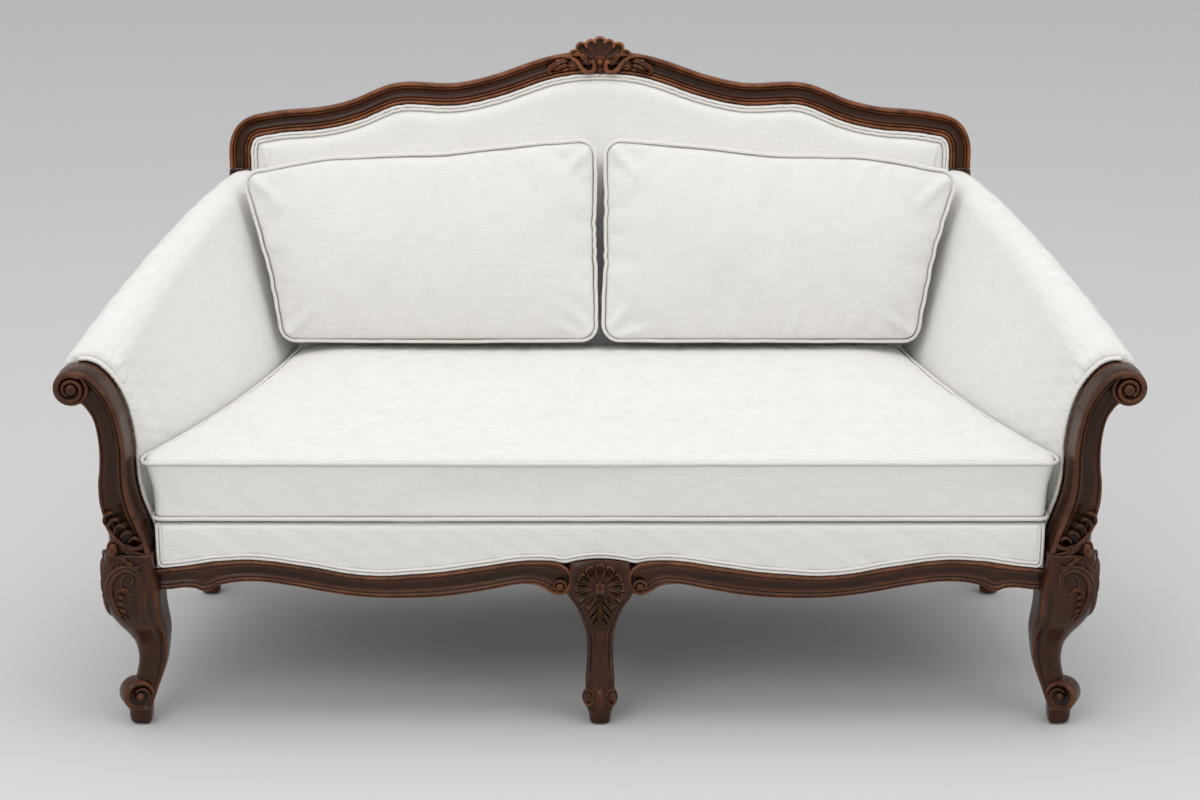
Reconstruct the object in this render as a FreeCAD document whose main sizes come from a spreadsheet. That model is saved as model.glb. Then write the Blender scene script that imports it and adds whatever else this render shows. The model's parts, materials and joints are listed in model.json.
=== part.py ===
import FreeCAD, Part
import math
import os
from FreeCAD import Placement, Rotation, Vector

# A cabriole sofa: a carved hardwood show frame on six legs, two scrolled arm supports, a serpentine
# crest rail with a shell, a tight inside back and rolled arms, a loose bench cushion and two loose
# back cushions. Lengths are millimetres. X runs to the right as the sofa is seen from the front, Y
# runs from front to back and Z runs up from the floor.
# While a piece is drawn, Y is counted from the front feet. Every piece is then moved by
# depth_centre, so that the origin lies on the floor under the middle of the sofa.

SIZES = [
    ("depth_centre", 386.4, "front feet to the middle of the whole depth"),
    ("fit_gap", 0.3, "clearance between neighbours that only lie against each other"),
    ("hole_gap", 0.15, "radial clearance of a dowel or screw in its hole"),
    ("rail_top", 318, "floor to the top of the seat rails"),
    ("frame_bottom", 267, "floor to the underside of the plain rails and the leg blocks"),
    ("front_leg_half", 784, "middle of the sofa to a front corner leg"),
    ("leg_block", 83, "width of a front corner leg's square block"),
    ("knee_width", 93, "width of a front leg at the knee"),
    ("ankle_width", 50, "width of a front leg at the ankle"),
    ("ankle_shift", 32, "how far the ankle sits in from the foot"),
    ("foot_scroll_radius", 24, "radius of a front foot's scroll"),
    ("foot_scroll_width", 36, "width of a front foot's scroll"),
    ("pad_radius", 21, "radius of the round pad under a foot"),
    ("pad_foot_radius", 17, "radius of the round pad at its lower end"),
    ("pad_height", 30, "floor to the top of the round pad"),
    ("glide_radius", 14, "radius of a nail glide"),
    ("glide_height", 3, "thickness of a nail glide"),
    ("centre_block_half", 53, "half the width of the front centre leg's block"),
    ("centre_block_top", 296, "floor to the top of the front centre leg's show face"),
    ("centre_block_front", 34, "how far the front centre leg's block stands ahead of the feet"),
    ("centre_block_rear", 38, "front feet to the rear of the front centre leg's block"),
    ("centre_ankle_half", 22.5, "half the width of the front centre leg's ankle"),
    ("centre_ankle_shift", 18, "how far the front centre leg's ankle sits behind its foot"),
    ("rosette_petals", 12, "number of petals of the rosette"),
    ("rosette_rise", 4, "how far the rosette's petals stand ahead of the show face"),
    ("rosette_drop", 20, "middle of the front centre leg's show face to the rosette's centre"),
    ("rosette_radius", 30, "radius of the rosette on the front centre leg"),
    ("rear_leg_half", 704, "middle of the sofa to the block of a rear leg"),
    ("rear_leg_depth", 678, "front feet to the block of a rear leg"),
    ("rear_leg_block", 56, "width of a rear leg's square block"),
    ("rear_ankle_width", 36, "width of a rear leg at the ankle"),
    ("rear_foot_splay", 40, "how far a rear corner foot stands out from its block"),
    ("rear_foot_set", 88, "how far a rear foot stands ahead of its block"),
    ("apron_front", 22, "how far the front apron's show face stands ahead of the feet"),
    ("apron_rear", 22, "front feet to the front apron's rear face"),
    ("tack_front", 2, "how far the front apron's tacking strip stands ahead of the feet"),
    ("apron_height", 37, "height of the front apron's show wood"),
    ("apron_crown", 301, "floor to the highest point of the front apron's upper edge"),
    ("apron_dip", 272, "floor to the lowest point of the front apron's upper edge"),
    ("apron_end", 285, "floor to the front apron's upper edge at the corner leg"),
    ("side_apron_thickness", 34, "thickness of a side apron"),
    ("side_apron_set", 1, "how far a side apron sits in from the leg's outer face"),
    ("side_apron_bottom", 250, "floor to the lower edge of a side apron at its ends"),
    ("side_apron_arch", 14, "rise of the arch in a side apron's lower edge"),
    ("side_tack_set", 5, "how far a side apron's tacking strip sits back from its show face"),
    ("arm_cloth_bottom", 290, "floor to the lower edge of the outside arm"),
    ("rear_rail_thickness", 30, "thickness of the rear rail"),
    ("cross_rail_width", 40, "width of the rail between the two centre legs"),
    ("cross_rail_height", 40, "height of the rail between the two centre legs"),
    ("block_reach", 96, "length of a corner block along each rail"),
    ("block_height", 40, "height of a corner block"),
    ("apron_dowel_drop", 7, "how far a front apron's dowels sit below the middle of the rails"),
    ("dowel_radius", 5, "radius of a joint dowel"),
    ("dowel_length", 50, "length of a joint dowel"),
    ("dowel_pitch", 24, "distance between the two dowels of a joint"),
    ("cross_dowel_pitch", 19, "distance between the two dowels at an end of the cross rail"),
    ("stile_dowel_pitch", 14, "distance between the two dowels of a stile and the crest rail"),
    ("screw_radius", 2.5, "radius of a corner block screw"),
    ("screw_length", 34, "length of a corner block screw under its head"),
    ("screw_head_radius", 5, "radius of a corner block screw's head"),
    ("screw_seat_depth", 8, "how deep a screw's head seat lies in a corner block's sloping face"),
    ("screw_head_height", 4, "height of a corner block screw's head"),
    ("support_front", 35, "how far an arm support stands ahead of the feet"),
    ("support_thickness", 60, "thickness of an arm support"),
    ("support_splay", 8, "how far an arm support's rear face lies in from its front face"),
    ("support_inner", 780, "middle of the sofa to an arm support's inner edge at its neck"),
    ("support_neck", 46, "width of an arm support at its neck"),
    ("volute_radius", 31, "radius of the volute that ends an arm support"),
    ("volute_reach", 85, "arm support's inner edge to the volute's centre"),
    ("volute_height", 603, "floor to the centre of the volute"),
    ("volute_eye_radius", 15, "radius of the volute's round eye"),
    ("volute_eye_rise", 5, "how far the volute's eye stands ahead of the arm support"),
    ("arm_rail_width", 24, "width of the rails inside an arm"),
    ("arm_rail_set", 2, "how far an arm's rail sits out from the stile's inner edge"),
    ("arm_rail_height", 34, "height of the rails inside an arm"),
    ("arm_roll_radius", 52, "radius of the arm's roll at the front"),
    ("arm_roll_half", 842, "middle of the sofa to the centre of the arm's roll at the front"),
    ("arm_roll_height", 606, "floor to the centre of the arm's roll at the front"),
    ("arm_rear_roll_radius", 32, "radius of the arm's roll at the back"),
    ("arm_rear_roll_half", 664, "middle of the sofa to the centre of the arm's roll at the back"),
    ("arm_rear_roll_height", 764, "floor to the centre of the arm's roll at the back"),
    ("arm_inner_front", 771, "middle of the sofa to the arm's inner face at the front, at cushion height"),
    ("arm_inner_rear", 565, "middle of the sofa to the arm's inner face at the back, at cushion height"),
    ("arm_inner_bow", 32, "how far the arm's inner face bows in towards the seat"),
    ("arm_neck_set", 8, "how far the outside arm stands inside the roll's centre at the front"),
    ("arm_neck_rise", 4, "how far the outside arm stands out beyond the roll at the back"),
    ("panel_thickness", 5, "thickness of the outside arm and outside back panels"),
    ("back_depth", 668, "front feet to the back's front face at back_foot"),
    ("back_foot", 300, "floor to the height where the back's own frame starts"),
    ("back_lean", 9, "angle of the back from upright, in degrees"),
    ("frame_width", 41, "width of the crest rail and the stiles, seen from the front"),
    ("frame_thickness", 38, "thickness of the crest rail and the stiles"),
    ("bead_width", 8, "width of the bead along each edge of the crest rail and the stiles"),
    ("outer_bead_step", 6, "how far the outer bead stands ahead of the moulding's edge"),
    ("inner_bead_step", 3, "how far the inner bead stands ahead of the moulding's edge"),
    ("cove_depth", 5, "depth of the cove between the two beads"),
    ("crest_height", 697, "back's foot to the crest rail's middle line at the centre"),
    ("shoulder_height", 641, "back's foot to the crest rail's middle line at a shoulder"),
    ("corner_height", 588, "back's foot to the crest rail's middle line beside a corner"),
    ("corner_radius", 50, "radius of the crest rail's middle line at a corner"),
    ("back_half", 676, "middle of the sofa to a stile's middle line at the joint"),
    ("back_foot_half", 690, "middle of the sofa to a stile's middle line at the back's foot"),
    ("stile_joint", 498, "back's foot to the joint between stile and crest rail"),
    ("shell_radius", 46, "radius of the shell on the crest rail"),
    ("shell_lobes", 7, "number of the shell's lobes"),
    ("shell_spread", 78, "angle of the outermost lobe from upright, in degrees"),
    ("shell_lobe_radius", 9, "radius of one of the shell's lobes at its tip"),
    ("shell_bead_radius", 8, "radius of the bead at the root of the shell"),
    ("shell_scroll_radius", 13, "radius of the scroll on each side of the shell"),
    ("shell_scroll_half", 52, "middle of the sofa to the centre of a shell's scroll"),
    ("shell_rise", 14, "how far the shell stands ahead of the crest rail's edge"),
    ("lower_rail_height", 40, "height of the back's lower rail"),
    ("lower_rail_place", 100, "back's foot to the underside of the back's lower rail"),
    ("back_rail_thickness", 20, "thickness of the back's lower rail and slat"),
    ("slat_width", 44, "width of the slat in the middle of the back"),
    ("strap_width", 50, "width of a webbing strap"),
    ("strap_thickness", 1.5, "thickness of a webbing strap"),
    ("strap_pitch", 95, "distance from one webbing strap to the next"),
    ("back_pad_front", 16, "how far the inside back stands ahead of its frame"),
    ("back_pad_slope", 26, "width of the sloping edge round the inside back"),
    ("pad_ledge_rise", 2, "how far the ledge under the back's welt stands ahead of the frame"),
    ("back_pad_depth", 7, "how deep the inside back's padding sits in its frame"),
    ("back_cloth_bottom", 31, "back's foot to the lower edge of the inside back"),
    ("spring_wire_radius", 1.9, "radius of the seat spring's wire"),
    ("spring_half_width", 22, "half the width of a zigzag seat spring"),
    ("spring_bend_radius", 10, "radius of a seat spring's bends"),
    ("spring_bars", 16, "number of cross bars in a seat spring"),
    ("spring_pitch", 118, "distance from one seat spring to the next"),
    ("clip_width", 16, "width of a spring clip"),
    ("clip_length", 14, "length of a spring clip"),
    ("clip_height", 6.5, "height of a spring clip"),
    ("deck_bottom", 325, "floor to the underside of the padded seat deck"),
    ("deck_corner", 4, "corner radius at the rear of the seat deck"),
    ("deck_thickness", 41, "thickness of the padded seat deck"),
    ("band_front", 18, "how far the cloth band over the front rail stands ahead of the feet"),
    ("band_top", 364, "floor to the top of the cloth band over the front rail"),
    ("dust_cover_thickness", 1, "thickness of the dust cover under the seat"),
    ("dust_cover_room", 10, "room between the dust cover and a front leg"),
    ("welt_radius", 3.5, "radius of a piping cord on a cushion"),
    ("piping_room", 3, "clearance between a piping cord and the cushion's cover"),
    ("double_welt_radius", 3, "radius of the welt along the show wood"),
    ("cover_thickness", 3, "thickness of a cushion's cover with its wadding"),
    ("seat_border", 98, "height between the bench cushion's two rows of piping"),
    ("seam_tuck", 8, "how far a cushion's underside or rear is drawn in inside its piping"),
    ("seat_seam_rise", 6, "floor of the bench cushion to its lower row of piping"),
    ("seat_front", 18, "how far the bench cushion stands ahead of the feet"),
    ("seat_rear", 658, "front feet to the rear of the bench cushion"),
    ("seat_half", 765, "half the width of the bench cushion's top at its front"),
    ("seat_taper", 24, "how much narrower each side of the bench cushion is at its lower piping"),
    ("seat_room", 8, "room between the bench cushion's side and an arm"),
    ("seat_crown", 38, "rise of the bench cushion's top over its piping"),
    ("crown_spread", 190, "width of the rounded part of the bench cushion's top"),
    ("crown_rear_spread", 60, "width of the rounded part at the bench cushion's rear"),
    ("cushion_corner", 22, "corner radius of the cushions, seen square on"),
    ("cushion_waist", 4, "how far the cushions' borders are drawn in at half height"),
    ("back_cushion_inner_half", 3.5, "half the gap between the back cushions at the seat"),
    ("back_cushion_splay", 12, "how far a back cushion's inner edge leans away at its top"),
    ("back_cushion_half", 570, "middle of the sofa to a back cushion's lower outer corner"),
    ("back_cushion_top_half", 626, "middle of the sofa to a back cushion's upper outer corner"),
    ("back_cushion_inner", 352, "height of a back cushion at its inner edge"),
    ("back_cushion_outer", 306, "height of a back cushion at its outer edge"),
    ("back_cushion_border", 116, "depth between a back cushion's two rows of piping"),
    ("back_cushion_crown", 26, "rise of a back cushion's front over its piping"),
    ("back_crown_spread", 120, "width of the rounded part of a back cushion's front"),
    ("zip_width", 26, "width of a cushion's zip tape"),
    ("zip_thickness", 1.2, "thickness of a cushion's zip tape"),
    ("seat_zip_length", 900, "length of the bench cushion's zip"),
    ("back_zip_length", 440, "length of a back cushion's zip"),
]

DOC = FreeCAD.newDocument("cabriole_sofa")
SHEET = DOC.addObject("Spreadsheet::Sheet", "sizes")
for row, (alias, number, note) in enumerate(SIZES, start=1):
    SHEET.set("A%d" % row, note)
    SHEET.set("B%d" % row, str(number))
    SHEET.setAlias("B%d" % row, alias)
DOC.recompute()


class Sizes:
    """The sheet's values as plain numbers, for the shapes that the code below works out itself."""


s = Sizes()
for alias, number, note in SIZES:
    setattr(s, alias, float(SHEET.get(alias)))

X_AXIS = Vector(1, 0, 0)
Y_AXIS = Vector(0, 1, 0)
Z_AXIS = Vector(0, 0, 1)
ORIGIN = Vector(0, 0, 0)
FAR = 3000.0
LARGE = 10000.0
TO_ORIGIN = Placement(Vector(0, -s.depth_centre, 0), Rotation())
BACK = Placement(Vector(0, s.back_depth, s.back_foot), Rotation(X_AXIS, -s.back_lean))
PIECES = []


# Helpers that keep a finished piece in the document

def keep(name, shape):
    """Keep a shape that is drawn from the front feet as a piece of its own."""
    piece = DOC.addObject("Part::Feature", name)
    piece.Label = name
    piece.Shape = shape
    piece.Placement = TO_ORIGIN.multiply(piece.Placement)
    PIECES.append(piece)
    return piece


def keep_pair(name, shape):
    """Keep the right-hand piece as it is drawn and its mirror image as the left-hand one."""
    keep(name + "_right", shape)
    keep(name + "_left", mirrored(shape))


def keep_box(name, corner, lengths, holes):
    """Keep a plain rail: a box whose corner and lengths are formulas of the sheet, less its holes."""
    rail = DOC.addObject("Part::Box", name + "_blank")
    for axis, formula in zip("xyz", corner):
        rail.setExpression(".Placement.Base." + axis, formula)
    for side, formula in zip(("Length", "Width", "Height"), lengths):
        rail.setExpression(side, formula)
    drill = DOC.addObject("Part::Feature", name + "_holes")
    drill.Shape = holes
    drill.Placement = TO_ORIGIN.multiply(drill.Placement)
    piece = DOC.addObject("Part::Cut", name)
    piece.Label = name
    piece.Base = rail
    piece.Tool = drill
    PIECES.append(piece)


# Helpers for outlines and solids

def mirrored(shape):
    return shape.mirror(ORIGIN, X_AXIS)


def both(shape):
    """A shape and its mirror image."""
    return [shape, mirrored(shape)]


def back_shape(shape):
    """Carry a shape from the back's own frame, where Y runs through the back, into the sofa."""
    moved = shape.copy()
    moved.Placement = BACK.multiply(moved.Placement)
    return moved


def block(x0, x1, y0, y1, z0, z1):
    return Part.makeBox(x1 - x0, y1 - y0, z1 - z0, Vector(x0, y0, z0))


def rod(start, direction, length, radius):
    return Part.makeCylinder(radius, length, start, direction)


def between(start, end, share):
    return start + (end - start) * share


def rounded(points, radii, closed=True):
    """A wire of straight runs with an arc at each point, or at each inner point of an open wire.
    An arc that is asked for larger than its two runs allow is made as large as they do."""
    count = len(points)
    inner = range(count) if closed else range(1, count - 1)
    starts = list(points)
    ends = list(points)
    arcs = {}
    for index in inner:
        here = points[index]
        to_last = points[index - 1] - here
        to_next = points[(index + 1) % count] - here
        half_turn = (math.pi - to_last.getAngle(to_next)) / 2
        reach = min(radii[index] * math.tan(half_turn), 0.45 * min(to_last.Length, to_next.Length))
        radius = reach / math.tan(half_turn)
        to_last.normalize()
        to_next.normalize()
        inward = (to_last + to_next).normalize()
        starts[index] = here + to_last * reach
        ends[index] = here + to_next * reach
        middle = here + inward * (radius / math.cos(half_turn) - radius)
        arcs[index] = Part.Arc(starts[index], middle, ends[index]).toShape()
    edges = []
    for index in range(count):
        if index in arcs:
            edges.append(arcs[index])
        if closed or index + 1 < count:
            edges.append(Part.LineSegment(ends[index], starts[(index + 1) % count]).toShape())
    return Part.Wire(edges)


def ring(x, y, z, half_x, half_y, corner):
    """A level rounded rectangle about a point."""
    corners = [
        Vector(x - half_x, y - half_y, z),
        Vector(x + half_x, y - half_y, z),
        Vector(x + half_x, y + half_y, z),
        Vector(x - half_x, y + half_y, z),
    ]
    return rounded(corners, [corner] * 4)


def tube(path, radius):
    """A round cord along a smooth wire."""
    first = path.OrderedEdges[0]
    start = first.valueAt(first.FirstParameter)
    along = first.tangentAt(first.FirstParameter)
    if first.Orientation == "Reversed":
        start = first.valueAt(first.LastParameter)
        along = first.tangentAt(first.LastParameter)
    section = Part.Wire([Part.makeCircle(radius, start, along)])
    return path.makePipeShell([section], True, False)


def bar(start, end, width, height):
    """A straight square-cut bar whose section stays upright."""
    along = end - start
    side = along.cross(Z_AXIS).normalize() * (width / 2)
    up = side.cross(along).normalize() * (height / 2)
    corners = [start + side + up, start - side + up, start - side - up, start + side - up]
    return Part.Face(Part.makePolygon(corners + corners[:1])).extrude(along)


# Joints: dowels and screws, and the holes that they sit in

DOWELS = []
DOWEL_HOLES = []
SCREWS = []
SCREW_HOLES = []


def dowel_joint(place, along, across, pitch):
    """Two dowels through a joint face, at equal distances from a point on it."""
    for side in (-0.5, 0.5):
        middle = place + across * (pitch * side)
        start = middle - along * (s.dowel_length / 2)
        DOWELS.append(rod(start, along, s.dowel_length, s.dowel_radius))
        clear = start - along * s.hole_gap
        length = s.dowel_length + 2 * s.hole_gap
        DOWEL_HOLES.append(rod(clear, along, length, s.dowel_radius + s.hole_gap))


def block_screw(place, along):
    """A screw whose head rests on a seat at a point, and its hole with the way in to that seat."""
    head = rod(place - along * s.screw_head_height, along, s.screw_head_height, s.screw_head_radius)
    SCREWS.append(head.fuse(rod(place, along, s.screw_length, s.screw_radius)))
    wide = s.screw_head_radius + s.hole_gap
    sink = rod(place - along * s.block_reach, along, s.block_reach, wide)
    thin = rod(place, along, s.screw_length + s.hole_gap, s.screw_radius + s.hole_gap)
    SCREW_HOLES.append(sink.fuse(thin))


# Where the rails meet the legs

FRONT_BLOCK_IN = s.front_leg_half - s.leg_block / 2
FRONT_BLOCK_REAR = s.leg_block / 2
REAR_BLOCK_FRONT = s.rear_leg_depth - s.rear_leg_block / 2
REAR_BLOCK_IN = s.rear_leg_half - s.rear_leg_block / 2
REAR_RAIL_FRONT = s.rear_leg_depth - s.rear_rail_thickness / 2
SIDE_FRONT_OUT = s.front_leg_half + s.leg_block / 2 - s.side_apron_set
SIDE_REAR_OUT = s.rear_leg_half + s.rear_leg_block / 2 - s.side_apron_set
SIDE_RUN = Vector(SIDE_REAR_OUT - SIDE_FRONT_OUT, REAR_BLOCK_FRONT - FRONT_BLOCK_REAR, 0)
SIDE_DIRECTION = Vector(SIDE_RUN).normalize()
SIDE_OUTWARD = Vector(SIDE_DIRECTION.y, -SIDE_DIRECTION.x, 0)


def side_face(depth, inset):
    """A point on a side apron's outer face, moved inwards by inset."""
    share = (depth - FRONT_BLOCK_REAR) / SIDE_RUN.y
    return Vector(SIDE_FRONT_OUT + SIDE_RUN.x * share - inset / SIDE_OUTWARD.x, depth, 0)


UP_TO_RAIL = (s.frame_bottom + s.rail_top) / 2
APRON_LEVEL = UP_TO_RAIL - s.apron_dowel_drop
DOWEL_DEPTH = (s.apron_rear - s.tack_front) / 2
for place_x in (FRONT_BLOCK_IN, s.centre_block_half, -s.centre_block_half, -FRONT_BLOCK_IN):
    dowel_joint(Vector(place_x, DOWEL_DEPTH, APRON_LEVEL), X_AXIS, Z_AXIS, s.dowel_pitch)
SIDE_MIDDLE = s.side_tack_set + (s.side_apron_thickness - s.side_tack_set) / 2
for depth in (FRONT_BLOCK_REAR, REAR_BLOCK_FRONT):
    place = side_face(depth, SIDE_MIDDLE) + Z_AXIS * UP_TO_RAIL
    dowel_joint(place, SIDE_DIRECTION, Z_AXIS, s.dowel_pitch)
    left_direction = Vector(-SIDE_DIRECTION.x, SIDE_DIRECTION.y, 0)
    dowel_joint(Vector(-place.x, place.y, place.z), left_direction, Z_AXIS, s.dowel_pitch)
for place_x in (REAR_BLOCK_IN, s.rear_leg_block / 2, -s.rear_leg_block / 2, -REAR_BLOCK_IN):
    dowel_joint(Vector(place_x, s.rear_leg_depth, UP_TO_RAIL), X_AXIS, Z_AXIS, s.dowel_pitch)
CROSS_LEVEL = s.rail_top - s.cross_rail_height / 2
for depth in (s.centre_block_rear, REAR_BLOCK_FRONT):
    dowel_joint(Vector(0, depth, CROSS_LEVEL), Y_AXIS, X_AXIS, s.cross_dowel_pitch)

# Corner blocks: a prism in each corner of the seat frame, screwed to the two rails

CORNER_BLOCKS = []
BLOCK_TOP = s.rail_top
BLOCK_BOTTOM = s.rail_top - s.block_height
BLOCK_MIDDLE = (BLOCK_TOP + BLOCK_BOTTOM) / 2
SCREW_SHARES = (0.3, 0.72)


def corner_block(rail_y, rear):
    """The right-hand corner block at the front or the rear, against a rail that lies along X."""
    inward = -1 if rear else 1
    block_x = REAR_BLOCK_IN if rear else FRONT_BLOCK_IN
    block_y = REAR_BLOCK_FRONT if rear else FRONT_BLOCK_REAR
    side_inset = s.side_apron_thickness
    far_side = side_face(block_y + inward * s.block_reach, side_inset)
    near_side = side_face(block_y, side_inset)
    corners = [
        Vector(block_x, rail_y, BLOCK_BOTTOM),
        Vector(block_x - s.block_reach, rail_y, BLOCK_BOTTOM),
        Vector(far_side.x, far_side.y, BLOCK_BOTTOM),
        Vector(near_side.x, near_side.y, BLOCK_BOTTOM),
        Vector(block_x, block_y, BLOCK_BOTTOM),
    ]
    slope = corners[2] - corners[1]
    for share, along in ((SCREW_SHARES[0], Vector(0, -inward, 0)), (SCREW_SHARES[1], SIDE_OUTWARD)):
        seat = corners[1] + slope * share + along * s.screw_seat_depth
        seat.z = BLOCK_MIDDLE
        block_screw(seat, along)
        turned = Vector(-along.x, along.y, 0)
        block_screw(Vector(-seat.x, seat.y, seat.z), turned)
    prism = Part.Face(Part.makePolygon(corners + corners[:1]))
    return prism.extrude(Z_AXIS * s.block_height)


for rail_y, rear in ((s.apron_rear, False), (REAR_RAIL_FRONT, True)):
    CORNER_BLOCKS += both(corner_block(rail_y, rear))

HOLES = Part.makeCompound(DOWEL_HOLES + SCREW_HOLES)
keep("corner_block_screws", Part.makeCompound(SCREWS))
keep("corner_blocks", Part.makeCompound([solid.cut(SCREW_HOLES) for solid in CORNER_BLOCKS]))

# Front corner legs: a square block, a knee, a thin ankle and a scrolled foot on a round pad.
# Each ring gives its height as a share of the height from pad to block, how much of the ankle's
# shift it has, and its width as a share of the way from the ankle's width to the knee's.

FRONT_LEG_RINGS = [
    (1.0, 0.0, 0.78),
    (0.89, 0.03, 1.0),
    (0.75, 0.1, 1.0),
    (0.66, 0.38, 0.79),
    (0.565, 0.75, 0.48),
    (0.47, 0.98, 0.18),
    (0.36, 1.02, 0.0),
    (0.26, 0.84, -0.02),
    (0.16, 0.5, 0.04),
    (0.07, 0.14, 0.02),
    (0.0, 0.0, -0.14),
]
REAR_LEG_RINGS = [
    (1.0, 0.0, 0.9),
    (0.88, 0.0, 1.15),
    (0.74, 0.06, 1.1),
    (0.6, 0.24, 0.75),
    (0.45, 0.52, 0.25),
    (0.3, 0.78, 0.0),
    (0.16, 0.94, 0.0),
    (0.07, 0.99, 0.15),
    (0.0, 1.0, 0.2),
]
CENTRE_LEG_RINGS = [
    (1.0, 0.0, 1.0),
    (0.87, 0.0, 0.98),
    (0.8, 0.0, 0.62),
    (0.72, 0.15, 0.36),
    (0.62, 0.5, 0.16),
    (0.5, 0.9, 0.0),
    (0.37, 1.0, 0.0),
    (0.25, 0.7, 0.07),
    (0.14, 0.3, 0.22),
    (0.05, 0.05, 0.22),
    (0.0, 0.0, 0.0),
]
LEG_SPAN = s.frame_bottom - s.pad_height
CENTRE_ANKLE_TOP = 0.45
CENTRE_CORNER = 0.7
ROUND_CORNER = 0.9
SQUARE_CORNER = 0.62
SCROLL_LIFT = 0.85 * s.foot_scroll_radius
SCROLL_OUT = 0.4 * s.foot_scroll_radius


def leg_shaft(rings, block_x, block_y, foot_x, foot_y, sway_x, sway_y, thin, wide):
    """A leg between its pad and its block; its section turns from round at the foot to square."""
    wires = []
    for height, shift, width in rings:
        z = s.pad_height + LEG_SPAN * height
        x = between(foot_x, block_x, height) + sway_x * shift
        y = between(foot_y, block_y, height) + sway_y * shift
        half = between(thin, wide, width) / 2
        softness = between(ROUND_CORNER, SQUARE_CORNER, max(0.0, 2 * height - 1))
        wires.append(ring(x, y, z, half, half, half * softness))
    return Part.makeLoft(wires, True, False)


def foot_pad(x, y):
    """The round pad between a foot and its nail glide."""
    return Part.makeCone(s.pad_foot_radius, s.pad_radius, s.pad_height - s.glide_height,
                         Vector(x, y, s.glide_height), Z_AXIS)


def front_corner_leg():
    """The right-hand front leg, whose scroll rolls out over the pad along the diagonal."""
    x = s.front_leg_half
    shaft = leg_shaft(FRONT_LEG_RINGS, x, 0, x, 0, -s.ankle_shift, s.ankle_shift,
                      s.ankle_width, s.knee_width)
    half = s.leg_block / 2
    square = block(x - half, x + half, -half, half, s.frame_bottom, s.rail_top)
    diagonal = Vector(1, -1, 0).normalize()
    sideways = Vector(1, 1, 0).normalize()
    toe = Vector(x, 0, s.pad_height + SCROLL_LIFT) + diagonal * SCROLL_OUT
    scroll = rod(toe - sideways * (s.foot_scroll_width / 2), sideways,
                 s.foot_scroll_width, s.foot_scroll_radius)
    leg = square.fuse([shaft, scroll, foot_pad(x, 0)])
    apron_room = block(0, FRONT_BLOCK_IN, -s.apron_front, s.apron_rear, s.apron_dip - s.apron_height, FAR)
    side_room = block(0, FAR, FRONT_BLOCK_REAR, FAR, s.side_apron_bottom, FAR)
    return leg.cut([apron_room, side_room] + DOWEL_HOLES)


def centre_leg_shaft():
    """The front centre leg below its block: it narrows to the ankle and sways forward at the foot."""
    wires = []
    centre_y = (s.centre_block_rear - s.centre_block_front) / 2
    block_half_y = (s.centre_block_rear + s.centre_block_front) / 2
    for height, shift, width in CENTRE_LEG_RINGS:
        z = s.pad_height + LEG_SPAN * height
        half = between(s.centre_ankle_half, s.centre_block_half, width)
        deepening = max(0.0, height - CENTRE_ANKLE_TOP) / (1 - CENTRE_ANKLE_TOP)
        half_y = between(s.centre_ankle_half, block_half_y, deepening)
        y = centre_y * height + s.centre_ankle_shift * shift
        wires.append(ring(0, y, z, half, half_y, min(half, half_y) * CENTRE_CORNER))
    return Part.makeLoft(wires, True, False)


def front_centre_leg():
    """The front centre leg: a block with a rosette on its show face, and a scrolled foot."""
    half = s.centre_block_half
    face = block(-half, half, -s.centre_block_front, s.centre_block_rear, s.frame_bottom, s.centre_block_top)
    upper = block(-half, half, -s.tack_front, s.centre_block_rear, s.centre_block_top, s.rail_top)
    toe = Vector(-s.foot_scroll_width / 2, -SCROLL_OUT, s.pad_height + SCROLL_LIFT)
    scroll = rod(toe, X_AXIS, s.foot_scroll_width, s.foot_scroll_radius)
    leg = face.fuse([upper, centre_leg_shaft(), scroll, foot_pad(0, 0)])
    level = (s.centre_block_top + s.frame_bottom) / 2 - s.rosette_drop
    heart = Vector(0, -s.centre_block_front, level)
    petal_radius = s.rosette_radius * 0.22
    petals = [Part.makeSphere(s.rosette_radius / 3, heart)]
    depth = 2 * s.rosette_rise
    for turn in range(int(s.rosette_petals)):
        angle = 2 * math.pi * turn / s.rosette_petals
        out = Vector(math.cos(angle), 0, math.sin(angle))
        petal = heart + out * (s.rosette_radius - petal_radius) - Y_AXIS * s.rosette_rise
        petals.append(rod(petal, Y_AXIS, depth, petal_radius))
    apron_room = block(half, FAR, -s.apron_front, s.apron_rear, s.apron_dip - s.apron_height, FAR)
    return leg.fuse(petals).cut(both(apron_room) + DOWEL_HOLES)


def rear_leg(x, splay):
    """A plain rear leg whose foot stands ahead of its block and out to the side by splay."""
    half = s.rear_leg_block / 2
    y = s.rear_leg_depth
    shaft = leg_shaft(REAR_LEG_RINGS, x, y, x, y, splay, -s.rear_foot_set,
                      s.rear_ankle_width, s.rear_leg_block)
    square = block(x - half, x + half, y - half, y + half, s.frame_bottom, s.rail_top)
    side_room = block(-FAR, FAR, 0, REAR_BLOCK_FRONT, s.side_apron_bottom, FAR)
    return square.fuse([shaft, foot_pad(x + splay, y - s.rear_foot_set)]).cut(side_room)


keep_pair("front_leg", front_corner_leg())
keep("front_leg_centre", front_centre_leg())
keep("rear_leg_centre", rear_leg(0, 0).cut(DOWEL_HOLES))

GLIDE_PLACES = [
    (s.front_leg_half, 0),
    (0, 0),
    (-s.front_leg_half, 0),
    (s.rear_leg_half + s.rear_foot_splay, s.rear_leg_depth - s.rear_foot_set),
    (0, s.rear_leg_depth - s.rear_foot_set),
    (-s.rear_leg_half - s.rear_foot_splay, s.rear_leg_depth - s.rear_foot_set),
]
GLIDES = [rod(Vector(x, y, 0), Z_AXIS, s.glide_height, s.glide_radius) for x, y in GLIDE_PLACES]
keep("foot_glides", Part.makeCompound(GLIDES))

# Front aprons: a serpentine board with a cusp by the corner leg, and a tacking strip behind its edge

APRON_WAVE = s.apron_crown - s.apron_dip


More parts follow.
